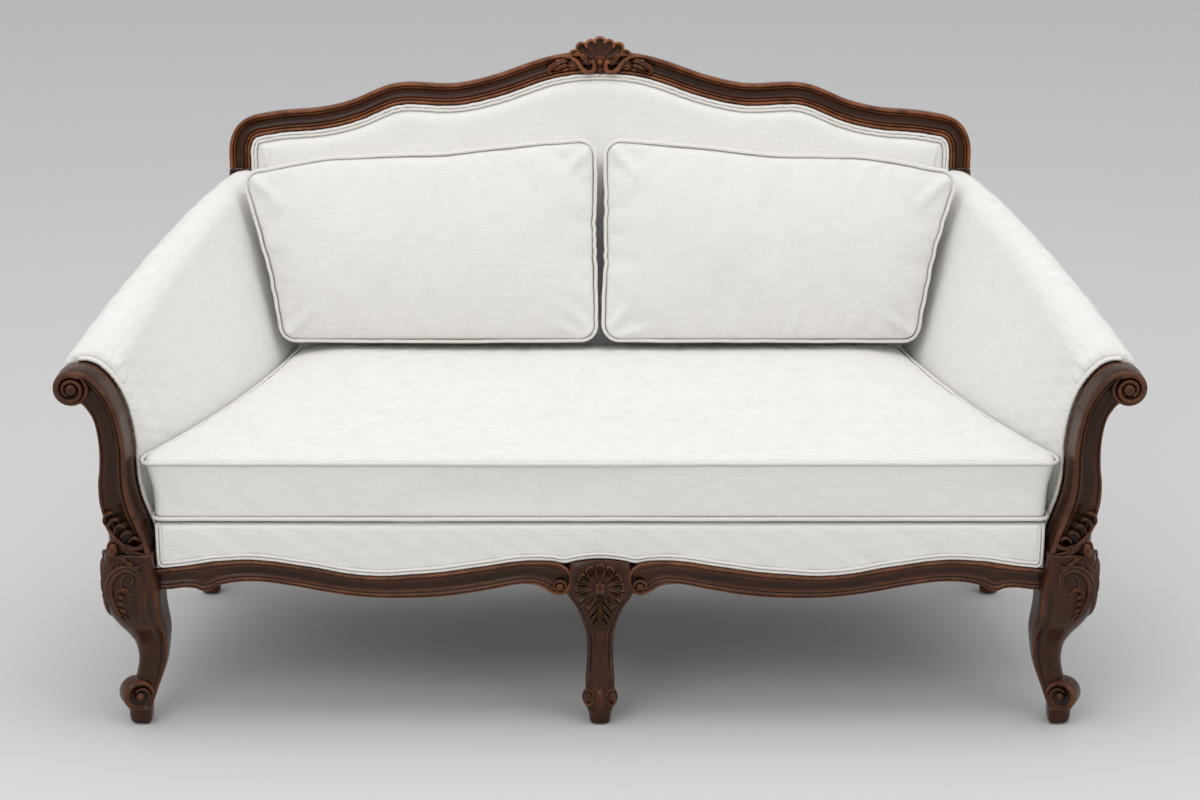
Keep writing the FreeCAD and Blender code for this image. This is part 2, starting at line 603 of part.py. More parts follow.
def apron_point(share, height):
    """A point on the right-hand apron's face, from the corner leg (0) to the centre block (1)."""
    return Vector(between(FRONT_BLOCK_IN, s.centre_block_half, share), -s.apron_front, height)


def apron_upper():
    """The front apron's upper edge, from the corner leg to the centre block."""
    return [
        apron_point(0, s.apron_end),
        apron_point(0.22, s.apron_crown + APRON_WAVE * 0.16),
        apron_point(0.56, s.apron_dip - APRON_WAVE * 0.27),
        apron_point(0.88, s.apron_crown + APRON_WAVE * 0.14),
        apron_point(1, s.centre_block_top),
    ]


def apron_lower():
    """The front apron's lower edge, from the centre block to a cusp and on to the corner leg."""
    low = s.apron_height
    return [
        apron_point(1, s.apron_dip - low),
        apron_point(0.965, s.apron_dip - low),
        apron_point(0.88, s.apron_crown + APRON_WAVE * 0.1 - low - 11),
        apron_point(0.56, s.apron_dip - APRON_WAVE * 0.27 - low),
        apron_point(0.2, s.apron_crown + APRON_WAVE * 0.3 - low),
        apron_point(0.118, s.apron_end - low),
        apron_point(0.05, s.apron_end + APRON_WAVE * 0.35 - low),
        apron_point(0, s.apron_end - low),
    ]


def front_apron():
    """The right-hand front apron: the serpentine board and the strip that the cloth is tacked to."""
    upper = rounded(apron_upper(), [LARGE] * 5, False)
    radii = [LARGE, 8, LARGE, LARGE, LARGE, 1, LARGE, LARGE]
    lower = rounded(apron_lower(), radii, False)
    inner_end = Part.makePolygon([apron_upper()[-1], apron_lower()[0]])
    outer_end = Part.makePolygon([apron_lower()[-1], apron_upper()[0]])
    outline = Part.Wire(upper.Edges + inner_end.Edges + lower.Edges + outer_end.Edges)
    board = Part.Face(outline).extrude(Y_AXIS * (s.apron_front + s.apron_rear))
    strip = block(s.centre_block_half, FRONT_BLOCK_IN, -s.tack_front, s.apron_rear,
                  s.apron_dip - s.apron_height / 2, s.rail_top)
    return board.fuse(strip).cut(DOWEL_HOLES + SCREW_HOLES)


keep_pair("front_apron", front_apron())


def side_apron():
    """A side apron: show wood with an arched lower edge below, a recessed tacking strip above."""
    low = s.side_apron_bottom
    outer = [side_face(FRONT_BLOCK_REAR, 0), side_face(REAR_BLOCK_FRONT, 0)]
    inner = [side_face(REAR_BLOCK_FRONT, s.side_apron_thickness),
             side_face(FRONT_BLOCK_REAR, s.side_apron_thickness)]
    tack = [side_face(FRONT_BLOCK_REAR, s.side_tack_set), side_face(REAR_BLOCK_FRONT, s.side_tack_set)]
    show = Part.Face(Part.makePolygon(outer + inner + outer[:1])).extrude(
        Z_AXIS * (s.arm_cloth_bottom - low))
    show.translate(Z_AXIS * low)
    strip = Part.Face(Part.makePolygon(tack + inner + tack[:1])).extrude(
        Z_AXIS * (s.rail_top - s.arm_cloth_bottom))
    strip.translate(Z_AXIS * s.arm_cloth_bottom)
    half_span = SIDE_RUN.Length / 2
    radius = (half_span ** 2 + s.side_apron_arch ** 2) / (2 * s.side_apron_arch)
    middle = (outer[0] + outer[1]) * 0.5 + Z_AXIS * (low + s.side_apron_arch - radius)
    arch = rod(middle - SIDE_OUTWARD * s.block_reach, SIDE_OUTWARD, 2 * s.block_reach, radius)
    return show.fuse(strip).cut([arch] + DOWEL_HOLES + SCREW_HOLES)


keep_pair("side_apron", side_apron())

RAIL_HEIGHT = "sizes.rail_top - sizes.frame_bottom"
REAR_RAIL_Y = "sizes.rear_leg_depth - sizes.rear_rail_thickness / 2 - sizes.depth_centre"
REAR_RAIL_LENGTH = "sizes.rear_leg_half - sizes.rear_leg_block"
keep_box("rear_rail_right", ("sizes.rear_leg_block / 2", REAR_RAIL_Y, "sizes.frame_bottom"),
         (REAR_RAIL_LENGTH, "sizes.rear_rail_thickness", RAIL_HEIGHT), HOLES)
keep_box("rear_rail_left",
         ("sizes.rear_leg_block / 2 - sizes.rear_leg_half", REAR_RAIL_Y, "sizes.frame_bottom"),
         (REAR_RAIL_LENGTH, "sizes.rear_rail_thickness", RAIL_HEIGHT), HOLES)
keep_box("seat_cross_rail",
         ("-sizes.cross_rail_width / 2", "sizes.centre_block_rear - sizes.depth_centre",
          "sizes.rail_top - sizes.cross_rail_height"),
         ("sizes.cross_rail_width",
          "sizes.rear_leg_depth - sizes.rear_leg_block / 2 - sizes.centre_block_rear",
          "sizes.cross_rail_height"), HOLES)

# The back's frame. Its own frame has X to the right, Y through the back's thickness and Z up the back.

HALF_BAND = s.frame_width / 2
STILE_SLOPE = (s.back_foot_half - s.back_half) / s.stile_joint


def stile_middle(height):
    """Middle line of the right-hand stile at a height up the back."""
    return s.back_half + STILE_SLOPE * (s.stile_joint - height)


def crest_middle():
    """Middle line of the crest rail: a serpentine from the left joint over the centre to the right."""
    fall = s.shoulder_height - s.corner_height
    half = [
        (0.107, s.crest_height, LARGE),
        (0.381, s.shoulder_height - 7, LARGE),
        (0.55, s.shoulder_height + 4, LARGE),
        (0.703, s.corner_height + fall * 0.25, LARGE),
        (0.83, s.corner_height, LARGE),
        (1.0, s.corner_height, s.corner_radius),
        (1.0, s.stile_joint, LARGE),
    ]
    right = [Vector(s.back_half * share, 0, height) for share, height, radius in half]
    left = [Vector(-point.x, 0, point.z) for point in reversed(right)]
    radii = [radius for share, height, radius in half]
    return rounded(left + right, radii[::-1] + radii, False)


CREST_LINE = crest_middle()


def beside(path, distance):
    """A wire at a distance from an open wire over the back, outwards if the distance is positive."""
    return path.makeOffset2D(distance, 0, False, True)


def moulding(centre, outward):
    """The moulded section of crest rail and stiles: a bead along each edge and a cove between."""
    half = HALF_BAND
    bead = s.bead_width
    rear = s.frame_thickness

    def at(across, through):
        return centre + outward * across + Y_AXIS * through

    edges = [
        Part.LineSegment(at(-half, rear), at(half, rear)),
        Part.LineSegment(at(half, rear), at(half, 0)),
        Part.Arc(at(half, 0), at(half - bead / 2, -s.outer_bead_step), at(half - bead, 0)),
        Part.Arc(at(half - bead, 0), at(0, s.cove_depth), at(bead - half, 0)),
        Part.Arc(at(bead - half, 0), at(bead / 2 - half, -s.inner_bead_step), at(-half, 0)),
        Part.LineSegment(at(-half, 0), at(-half, rear)),
    ]
    return Part.Wire([edge.toShape() for edge in edges])


SHELL_SEAT_HALF = s.shell_radius * 0.95


def crest_rail():
    """The crest rail in one piece, cut down to the crest line's height where the shell stands."""
    start = Vector(-s.back_half, 0, s.stile_joint)
    rail = CREST_LINE.makePipeShell([moulding(start, -X_AXIS)], True, False)
    seat = block(-SHELL_SEAT_HALF, SHELL_SEAT_HALF, -FAR, FAR, s.crest_height, FAR)
    return rail.cut(seat)


def stile():
    """The right-hand stile, from the seat rail's top to the crest rail."""
    foot = Vector(s.back_foot_half, 0, 0)
    head = Vector(s.back_half, 0, s.stile_joint)
    along = (head - foot).normalize()
    start = foot - along * s.frame_width
    outward = Vector(along.z, 0, -along.x)
    section = Part.Face(moulding(start, outward))
    return section.extrude(head - start)


CREST_RAIL = back_shape(crest_rail())
STILE_TOP_CUT = back_shape(block(0, FAR, -FAR, FAR, s.stile_joint, FAR))
BELOW_RAIL = block(0, FAR, 0, FAR, -FAR, s.rail_top)
STILE = back_shape(stile()).cut([STILE_TOP_CUT, BELOW_RAIL])
STILE_DIRECTION = BACK.Rotation.multVec(Vector(-STILE_SLOPE, 0, 1).normalize())
for side in (1, -1):
    joint = BACK.multVec(Vector(side * s.back_half, s.frame_thickness / 2, s.stile_joint))
    along = Vector(side * STILE_DIRECTION.x, STILE_DIRECTION.y, STILE_DIRECTION.z)
    dowel_joint(joint, along, BACK.Rotation.multVec(Y_AXIS), s.stile_dowel_pitch)
keep("joint_dowels", Part.makeCompound(DOWELS))
CREST_HOLES = DOWEL_HOLES[-4:]

keep("crest_rail", CREST_RAIL.cut(CREST_HOLES))
REAR_LEG = rear_leg(s.rear_leg_half, s.rear_foot_splay)
keep_pair("rear_leg", REAR_LEG.fuse(STILE).cut(DOWEL_HOLES))


def crest_shell():
    """A scallop shell: lobes that spread from a bead, a solid heart behind them and two scrolls."""
    root = Vector(0, -s.outer_bead_step, s.crest_height)
    reach = s.shell_radius - s.shell_lobe_radius
    parts = [Part.makeSphere(s.shell_bead_radius, root - Y_AXIS * s.shell_bead_radius * 0.6)]
    for index in range(int(s.shell_lobes)):
        angle = math.radians(between(-s.shell_spread, s.shell_spread, index / (s.shell_lobes - 1)))
        out = Vector(math.sin(angle), 0, math.cos(angle))
        start = root + out * (s.shell_bead_radius * 0.5)
        parts.append(Part.makeCone(s.shell_lobe_radius * 0.35, s.shell_lobe_radius,
                                   reach - s.shell_bead_radius * 0.5, start, out))
        parts.append(Part.makeSphere(s.shell_lobe_radius, root + out * reach))
    heart = rod(Vector(0, -s.outer_bead_step, s.crest_height), Y_AXIS,
                s.frame_thickness + s.outer_bead_step, reach)
    parts.append(heart)
    for side in (1, -1):
        scroll = Vector(side * s.shell_scroll_half, -s.shell_rise, s.crest_height - s.shell_scroll_radius / 2)
        parts.append(rod(scroll, Y_AXIS, s.shell_rise - s.outer_bead_step - s.fit_gap,
                         s.shell_scroll_radius))
    shell = parts[0].fuse(parts[1:])
    rail_front = block(-FAR, FAR, -s.outer_bead_step - s.fit_gap, FAR, 0, s.crest_height)
    beside_left = block(-FAR, -SHELL_SEAT_HALF, -s.outer_bead_step - s.fit_gap, FAR, 0, FAR)
    beside_right = block(SHELL_SEAT_HALF, FAR, -s.outer_bead_step - s.fit_gap, FAR, 0, FAR)
    return shell.cut([rail_front, beside_left, beside_right])


keep("crest_shell", back_shape(crest_shell()))

# Inside the back's frame


def back_opening(inset, bottom, front, rear):
    """A slab that fills the back's frame, from its inner edge less inset."""
    top = beside(CREST_LINE, -HALF_BAND - inset)
    corners = [Vector(side * (s.back_half - HALF_BAND - inset), 0, s.stile_joint) for side in (1, -1)]
    foot_half = stile_middle(bottom) - HALF_BAND - inset
    feet = [Vector(foot_half, 0, bottom), Vector(-foot_half, 0, bottom)]
    below = Part.makePolygon([corners[0]] + feet + [corners[1]])
    filled = Part.Face(Part.Wire(top.Edges + below.Edges)).extrude(Y_AXIS * (rear - front))
    filled.translate(Y_AXIS * front)
    return filled


BACK_RAIL_FRONT = s.back_pad_depth + s.strap_thickness + 2 * s.fit_gap
BACK_RAIL_REAR = BACK_RAIL_FRONT + s.back_rail_thickness - s.fit_gap
BACK_OPENING = back_opening(s.fit_gap / 2, 0, BACK_RAIL_FRONT, BACK_RAIL_REAR)
LOWER_RAIL_TOP = s.lower_rail_place + s.lower_rail_height
lower_rail = BACK_OPENING.common(block(-FAR, FAR, -FAR, FAR, s.lower_rail_place, LOWER_RAIL_TOP))
keep("back_lower_rail", back_shape(lower_rail))
slat = BACK_OPENING.common(block(-s.slat_width / 2, s.slat_width / 2, -FAR, FAR, LOWER_RAIL_TOP, FAR))
keep("back_slat", back_shape(slat))

STRAP_FRONT = s.back_pad_depth + s.fit_gap
straps = []
height = LOWER_RAIL_TOP
while height + s.strap_width < s.corner_height - HALF_BAND:
    sheet = back_opening(s.fit_gap, 0, STRAP_FRONT, STRAP_FRONT + s.strap_thickness)
    straps.append(sheet.common(block(-FAR, FAR, -FAR, FAR, height, height + s.strap_width)))
    height += s.strap_pitch
keep("back_webbing", back_shape(Part.makeCompound(straps)))


def opening_wire(inset, bottom, through):
    """The outline of the back's opening at a depth through the back."""
    outline = back_opening(inset, bottom, through, through + 1)
    face = min(outline.Faces, key=lambda side: side.CenterOfMass.y)
    return face.OuterWire


def inside_back():
    """Padding that fills the frame's opening, with a ledge for the welt and a raised, sloping front."""
    ledge = 2 * s.double_welt_radius + 3 * s.fit_gap
    base = back_opening(s.fit_gap, s.back_cloth_bottom, -s.pad_ledge_rise, s.back_pad_depth)
    low = opening_wire(ledge, s.back_cloth_bottom, -s.pad_ledge_rise)
    high = opening_wire(s.back_pad_slope, s.back_cloth_bottom, -s.back_pad_front)
    return base.fuse(Part.makeLoft([low, high], True, True))


keep("inside_back", back_shape(inside_back()))
back_welt = beside(CREST_LINE, -HALF_BAND - s.fit_gap - s.double_welt_radius)
back_welt.translate(-Y_AXIS * (s.pad_ledge_rise + s.fit_gap + s.double_welt_radius))
keep("back_welt", back_shape(tube(back_welt, s.double_welt_radius)))
OUTSIDE_BACK = back_opening(s.fit_gap, s.back_cloth_bottom, BACK_RAIL_REAR + s.fit_gap,
                            BACK_RAIL_REAR + s.fit_gap + s.panel_thickness)
keep("outside_back", back_shape(OUTSIDE_BACK))

# Arm supports: a scrolled board on each front leg, its rear face set a little inwards. Each point of
# an edge gives its distance out from the neck's edge and its height as a share of the way from the
# rail to the volute's centre.

SUPPORT_INNER_POINTS = [(-32, 0.0), (-27, 0.12), (-2, 0.33), (-1, 0.7), (14, 0.96), (48, 1.115)]
SUPPORT_OUTER_POINTS = [(-4, 0.83), (-3, 0.6), (6, 0.33), (-18, 0.09), (-18, 0.0)]
SUPPORT_RISE = s.volute_height - s.rail_top


def support_points(edge, shares):
    return [Vector(edge + out, -s.support_front, s.rail_top + SUPPORT_RISE * share) for out, share in shares]


def support_edge():
    """The inner and upper edge of the right-hand arm support's front face, from its foot up."""
    top = Vector(s.support_inner + s.volute_reach, -s.support_front, s.volute_height + s.volute_radius)
    return support_points(s.support_inner, SUPPORT_INNER_POINTS) + [top]


def arm_support():
    """A scrolled board: its front outline runs up the inner edge, round the volute and down again."""
    centre = Vector(s.support_inner + s.volute_reach, -s.support_front, s.volute_height)
    outer = [centre - Z_AXIS * s.volute_radius]
    outer += support_points(s.support_inner + s.support_neck, SUPPORT_OUTER_POINTS)
    inner_edges = rounded(support_edge(), [LARGE] * 7, False).Edges
    outer_edges = rounded(outer, [LARGE] * 6, False).Edges
    diagonal = Vector(1, 0, 1).normalize() * s.volute_radius
    side = centre + X_AXIS * s.volute_radius
    volute = [
        Part.Arc(centre + Z_AXIS * s.volute_radius, centre + diagonal, side).toShape(),
        Part.Arc(side, centre + Vector(diagonal.x, 0, -diagonal.z), outer[0]).toShape(),
    ]
    base = [Part.LineSegment(outer[-1], support_edge()[0]).toShape()]
    outline = Part.Wire(inner_edges + volute + outer_edges + base)
    board = Part.Face(outline).extrude(Vector(-s.support_splay, s.support_thickness, 0))
    eye = rod(centre - Y_AXIS * s.volute_eye_rise, Y_AXIS, s.volute_eye_rise + 1, s.volute_eye_radius)
    return board.fuse(eye)


keep_pair("arm_support", arm_support())

# The arms. Each section across an arm has an inner line, a roll, an outer line and a flat bottom.

ARM_FRONT = s.support_thickness - s.support_front + s.fit_gap
ARM_REAR = s.back_depth + (s.arm_rear_roll_height - s.back_foot) * math.tan(math.radians(s.back_lean))
ARM_RUN = ARM_REAR - ARM_FRONT
ROLL_CLIMB = 1.5
ROLL_END_FRONT = 72
ROLL_END_REAR = 20
CUSHION_LEVEL = s.deck_bottom + s.deck_thickness + s.seat_seam_rise + s.seat_border


def arm_share(depth):
    """Share of the arm's run from its support to the back."""
    return (depth - ARM_FRONT) / ARM_RUN


def roll_centre(depth):
    """Centre of the arm's roll at a depth; it climbs steeply first and levels out at the back."""
    share = arm_share(depth)
    climb = 1 - max(0.0, 1 - share) ** ROLL_CLIMB
    x = between(s.arm_roll_half, s.arm_rear_roll_half, share)
    return Vector(x, depth, between(s.arm_roll_height, s.arm_rear_roll_height, climb))


def roll_radius(depth):
    return between(s.arm_roll_radius, s.arm_rear_roll_radius, arm_share(depth))


def arm_inner_point(depth):
    """The arm's inner face at the height of the bench cushion's upper piping."""
    share = arm_share(depth)
    bow = 4 * s.arm_inner_bow * share * (1 - share)
    return Vector(between(s.arm_inner_front, s.arm_inner_rear, share) - bow, depth, CUSHION_LEVEL)


def roll_tangent(depth):
    """Where the inner face runs into the roll."""
    centre = roll_centre(depth)
    back = arm_inner_point(depth) - centre
    lean = math.atan2(back.z, back.x) - math.acos(roll_radius(depth) / back.Length)
    return centre + Vector(math.cos(lean), 0, math.sin(lean)) * roll_radius(depth)


def arm_inner(depth, height):
    """X of the arm's inner face at a depth and a height."""
    foot = arm_inner_point(depth)
    head = roll_tangent(depth)
    return foot.x + (head.x - foot.x) * (height - foot.z) / (head.z - foot.z)


def arm_outer(depth, height, inset):
    """X of the outside arm, moved inwards by inset: upright on the rail, then leaning to the roll."""
    neck_z = roll_centre(depth).z - roll_radius(depth)
    foot = side_face(depth, s.side_tack_set).x + s.panel_thickness + s.fit_gap
    neck_rear = s.arm_rear_roll_half + s.arm_rear_roll_radius + s.arm_neck_rise
    neck = between(s.arm_roll_half - s.arm_neck_set, neck_rear, arm_share(depth))
    climb = max(0.0, (height - s.rail_top) / (neck_z - s.rail_top))
    return between(foot, neck, climb) - inset


def arm_section(depth):
    """The outline of an arm's padding at a depth."""
    centre = roll_centre(depth)
    radius = roll_radius(depth)
    tangent = roll_tangent(depth)
    bottom = s.rail_top + s.fit_gap
    neck_z = centre.z - radius
    inset = s.panel_thickness + s.fit_gap
    low = math.radians(between(-ROLL_END_FRONT, -ROLL_END_REAR, min(1.0, arm_share(depth))))

    def on_roll(angle):
        return centre + Vector(math.cos(angle), 0, math.sin(angle)) * radius

    start = math.atan2(tangent.z - centre.z, tangent.x - centre.x) % (2 * math.pi)
    top = math.pi / 2
    end = on_roll(low)
    foot_in = Vector(arm_inner(depth, bottom), depth, bottom)
    foot_out = Vector(arm_outer(depth, bottom, inset), depth, bottom)
    neck = Vector(arm_outer(depth, neck_z, inset), depth, neck_z)
    edges = [
        Part.LineSegment(foot_in, tangent),
        Part.Arc(tangent, on_roll((start + top) / 2), on_roll(top)),
        Part.Arc(on_roll(top), on_roll(top / 2), on_roll(0)),
        Part.Arc(on_roll(0), on_roll(low / 2), end),
        Part.LineSegment(end, neck),
        Part.LineSegment(neck, foot_out),
        Part.LineSegment(foot_out, foot_in),
    ]
    return Part.Wire([edge.toShape() for edge in edges])


ARM_DEPTHS = [ARM_FRONT + ARM_RUN * share for share in (0, 0.15, 0.32, 0.5, 0.68, 0.86, 1.06)]
BEHIND_ARM = back_shape(block(0, FAR, -s.outer_bead_step - s.fit_gap, FAR, -FAR, FAR))
BEHIND_PAD = back_shape(back_opening(0, 0, -s.back_pad_front - s.fit_gap, 0))


def arm_frame():
    """The right-hand arm's hidden frame: a stump behind the support and two rails to the stile."""
    middle = side_face(ARM_FRONT, s.side_apron_thickness - s.arm_rail_width / 2).x
    half = s.arm_rail_width / 2
    stump_rear = ARM_FRONT + s.arm_rail_height
    stump_top = s.arm_roll_height - s.arm_roll_radius / 2
    stump = block(middle - half, middle + half, ARM_FRONT - s.fit_gap, stump_rear, s.rail_top, stump_top)
    rails = []
    top_rear = s.arm_rear_roll_height - s.arm_rear_roll_radius - s.arm_rail_height / 2
    lower = CUSHION_LEVEL - s.arm_rail_height * 2
    for front_z, rear_z in ((stump_top - s.arm_rail_height, top_rear), (lower, lower)):
        up = (rear_z - s.back_foot) / math.cos(math.radians(s.back_lean))
        stile_edge = stile_middle(up) - HALF_BAND + s.arm_rail_set
        head = BACK.multVec(Vector(stile_edge + s.arm_rail_width / 2, 0, up))
        rail = bar(Vector(middle, stump_rear, front_z), head, s.arm_rail_width, s.arm_rail_height)
        front_end = block(0, FAR, -FAR, stump_rear, 0, FAR)
        rails.append(rail.cut([front_end, STILE]))
    return stump, rails[0], rails[1]


STUMP, ARM_TOP_RAIL, ARM_LOWER_RAIL = arm_frame()
keep_pair("arm_stump", STUMP)
keep_pair("arm_top_rail", ARM_TOP_RAIL)
keep_pair("arm_lower_rail", ARM_LOWER_RAIL)


def arm_pad():
    """The right-hand arm's padding, closed round its hidden frame."""
    body = Part.makeLoft([arm_section(depth) for depth in ARM_DEPTHS], True, False)
    return body.cut([BEHIND_ARM, BEHIND_PAD, STUMP, ARM_TOP_RAIL, ARM_LOWER_RAIL])


keep_pair("arm_pad", arm_pad())


def outside_arm():
    """The thin upholstered panel on the outside of an arm."""
    sections = []
    for depth in ARM_DEPTHS:
        top = roll_centre(depth).z - roll_radius(depth)
        low = s.arm_cloth_bottom + s.fit_gap
        corners = []
        thick = s.panel_thickness
        for height, inset in ((low, 0), (s.rail_top, 0), (top, 0),
                              (top, thick), (s.rail_top, thick), (low, thick)):
            corners.append(Vector(arm_outer(depth, height, inset), depth, height))
        sections.append(Part.makePolygon(corners + corners[:1]))
    panel = Part.makeLoft(sections, True, False)
    leg_room = block(0, FAR, 0, FRONT_BLOCK_REAR + s.fit_gap, 0, s.rail_top)
    rear_room = block(0, FAR, REAR_BLOCK_FRONT - s.fit_gap, FAR, 0, s.rail_top)
    return panel.cut([BEHIND_ARM, leg_room, rear_room])


keep_pair("outside_arm", outside_arm())

arm_welt = rounded(support_edge()[3:], [LARGE] * 4, False)
shift = (s.support_thickness - s.double_welt_radius - s.fit_gap) / s.support_thickness
arm_welt.translate(Vector(-s.support_splay, s.support_thickness, 0) * shift)
arm_welt = arm_welt.makeOffset2D(s.double_welt_radius + s.fit_gap, 0, False, True)
keep_pair("arm_welt", tube(arm_welt, s.double_welt_radius))

# The sprung seat: zigzag springs in clips, a padded deck, a cloth band in front, a dust cover below

SPRING_LEVEL = s.deck_bottom - s.fit_gap - s.spring_wire_radius
SPRING_FRONT = (s.apron_rear - s.tack_front) / 2
SPRING_RUN = s.rear_leg_depth - SPRING_FRONT
SPRING_STEP = SPRING_RUN / (s.spring_bars - 1)


def seat_spring():
    """A zigzag spring in the sofa's middle, from the front rail to the rear one."""
    points = []
    for index in range(int(s.spring_bars)):
        side = s.spring_half_width if index % 2 == 0 else -s.spring_half_width
        depth = SPRING_FRONT + SPRING_STEP * index
        points.append(Vector(-side, depth, SPRING_LEVEL))
        points.append(Vector(side, depth, SPRING_LEVEL))
    path = rounded(points, [s.spring_bend_radius] * len(points), False)
    return tube(path, s.spring_wire_radius)


def spring_clip(depth):
    """A clip whose tunnel holds the end bar of a spring down on its rail."""
    body = block(-s.clip_width / 2, s.clip_width / 2, depth - s.clip_length / 2,
                 depth + s.clip_length / 2, s.rail_top, s.rail_top + s.clip_height)
    tunnel = rod(Vector(-s.clip_width, depth, SPRING_LEVEL), X_AXIS, 2 * s.clip_width,
                 s.spring_wire_radius + s.hole_gap)
    return body.cut(tunnel)


SPRING = seat_spring()
CLIPS = [spring_clip(SPRING_FRONT), spring_clip(SPRING_FRONT + SPRING_RUN)]
springs = []
clips = []
place_x = s.spring_pitch / 2
while place_x + s.spring_half_width < arm_inner(s.back_depth, s.rail_top) - s.spring_half_width:
    for shape in [SPRING] + CLIPS:
        for side in (1, -1):
            copy = shape.copy()
            copy.translate(X_AXIS * place_x * side)
            (springs if shape is SPRING else clips).append(copy)
    place_x += s.spring_pitch
keep("seat_springs", Part.makeCompound(springs))
keep("spring_clips", Part.makeCompound(clips))

SIDE_SHARES = (0.071, 0.256, 0.456, 0.678, 1.0)


def seat_side(share, front, rear):
    """A point of the bench cushion's right side at a share of its depth."""
    depth = between(front, rear, share)
    return Vector(arm_inner_point(depth).x - s.seat_room, depth, 0)


def seat_deck():
    """A padded deck on the springs that ends at the arms, the band and the inside back."""
    front = -s.tack_front + s.fit_gap
    rear = s.back_depth - s.back_pad_front - s.fit_gap
    side = [Vector(FRONT_BLOCK_IN - s.seat_room, front, 0)]
    for share in SIDE_SHARES:
        depth = between(front, rear, share)
        side.append(Vector(arm_inner(depth, s.deck_bottom) - s.seat_room, depth, 0))
    corners = side + [Vector(-point.x, point.y, 0) for point in reversed(side)]
    tight = s.dust_cover_thickness
    radii = [tight] + [LARGE] * 4 + [s.deck_corner] * 2 + [LARGE] * 4 + [tight] * 2
    outline = rounded(corners, radii)
    outline.translate(Z_AXIS * s.deck_bottom)
    return Part.Face(outline).extrude(Z_AXIS * s.deck_thickness)


keep("seat_deck", seat_deck())


def front_band():
    """The cloth band between deck and apron, its lower edge on the apron's upper edge."""
    right = rounded([point + Z_AXIS * s.fit_gap for point in apron_upper()], [LARGE] * 5, False)
    lift = Vector(0, s.apron_front - s.band_front, 0)
    right.translate(lift)
    left = mirrored(right)
    inner = apron_upper()[-1] + Z_AXIS * s.fit_gap + lift
    outer = apron_upper()[0] + Z_AXIS * s.fit_gap + lift
    top = Vector(outer.x, outer.y, s.band_top)
    opposite = [Vector(-point.x, point.y, point.z) for point in (inner, outer, top)]
    bridge = Part.makePolygon([inner, opposite[0]])
    above = Part.makePolygon([outer, top, opposite[2], opposite[1]])
    outline = Part.Wire(Part.__sortEdges__(right.Edges + bridge.Edges + left.Edges + above.Edges))
    band = Part.Face(outline).extrude(Y_AXIS * (s.band_front - s.tack_front - s.fit_gap))
    ends = [block(FRONT_BLOCK_IN - s.fit_gap, FAR, -FAR, FAR, 0, FAR)]
    ends.append(mirrored(ends[0]))
    return band.cut(ends)


keep("seat_front_band", front_band())


def band_welt():
    """The welt along the right half of the band's lower edge."""
    rise = Vector(0, s.apron_front - s.band_front - s.double_welt_radius - s.fit_gap,
                  s.double_welt_radius + s.fit_gap)
    points = [point + rise for point in apron_upper()]
    points[0].x -= s.fit_gap
    return tube(rounded(points, [LARGE] * 5, False), s.double_welt_radius)


keep("band_welts", Part.makeCompound(both(band_welt())))


def dust_cover():
    """A thin cloth under the seat, cut out round the legs, that hangs from the plain rails."""
    front = s.apron_rear + s.fit_gap
    rear = s.rear_leg_depth + s.rear_rail_thickness / 2
    corners = [side_face(front, s.side_apron_thickness + s.fit_gap),
               side_face(rear, s.side_apron_thickness + s.fit_gap)]
    corners += [Vector(-point.x, point.y, 0) for point in reversed(corners)]
    sheet = Part.Face(Part.makePolygon(corners + corners[:1])).extrude(Z_AXIS * s.dust_cover_thickness)
    sheet.translate(Z_AXIS * (s.frame_bottom - s.dust_cover_thickness - s.fit_gap))
    room = s.leg_block / 2 + s.dust_cover_room
    corner = block(s.front_leg_half - room, FAR, -room, room, 0, FAR)
    rear_corner = block(s.rear_leg_half - s.rear_leg_block, FAR, s.rear_leg_depth - s.rear_leg_block,
                        FAR, 0, FAR)
    middle_half = s.centre_block_half + s.dust_cover_room
    middle = block(-middle_half, middle_half, 0, s.centre_block_rear + s.dust_cover_room, 0, FAR)
    rear_middle = block(-s.rear_leg_block, s.rear_leg_block, s.rear_leg_depth - s.rear_leg_block,
                        FAR, 0, FAR)
    return sheet.cut([middle, rear_middle] + both(corner) + both(rear_corner))


keep("dust_cover", dust_cover())

# The bench cushion. Its outlines are level; a crown rises over the upper piping.

PIPING = 2 * s.welt_radius + s.piping_room
SEAT_BOTTOM = s.deck_bottom + s.deck_thickness + s.fit_gap
SEAT_LOWER = SEAT_BOTTOM + s.seat_seam_rise
SEAT_UPPER = SEAT_LOWER + s.seat_border
SEAT_TOP = SEAT_UPPER + s.seat_crown
CROWN_STEPS = (0.03, 0.1, 0.22, 0.4, 0.65, 1.0)
ZIP_DRAW = 0.75
WAIST_LEVELS = ((0.25, 0.75), (0.5, 1.0), (0.75, 0.75))


def corner_radius(inset):
    """The corner of a cushion's outline that is drawn in by inset; over the crown it stays the same."""
    return s.cushion_corner - min(inset, PIPING + s.cushion_waist)


def crown_rise(step):
    """Rise of a quarter-round crown at a share of its spread."""
    return math.sqrt(1 - (1 - step) ** 2)


def seat_outline(height, inset, rear_inset):
    """The bench cushion's outline at a height, drawn in by inset at the front and sides."""
    taper = s.seat_taper * max(0.0, (SEAT_UPPER - height) / s.seat_border)
    front = -s.seat_front
    side = [Vector(s.seat_half, front, 0)]
    side += [seat_side(share, front, s.seat_rear) for share in SIDE_SHARES]
    shares = (0.0,) + SIDE_SHARES
    right = []
    for point, share in zip(side, shares):
        depth = between(front + inset, s.seat_rear - rear_inset, share)
        right.append(Vector(point.x - inset - taper, depth, height))
    left = [Vector(-point.x, point.y, height) for point in reversed(right)]
    corner = corner_radius(inset)
    return rounded(right + left, [corner] + [LARGE] * 4 + [corner] * 2 + [LARGE] * 4 + [corner])


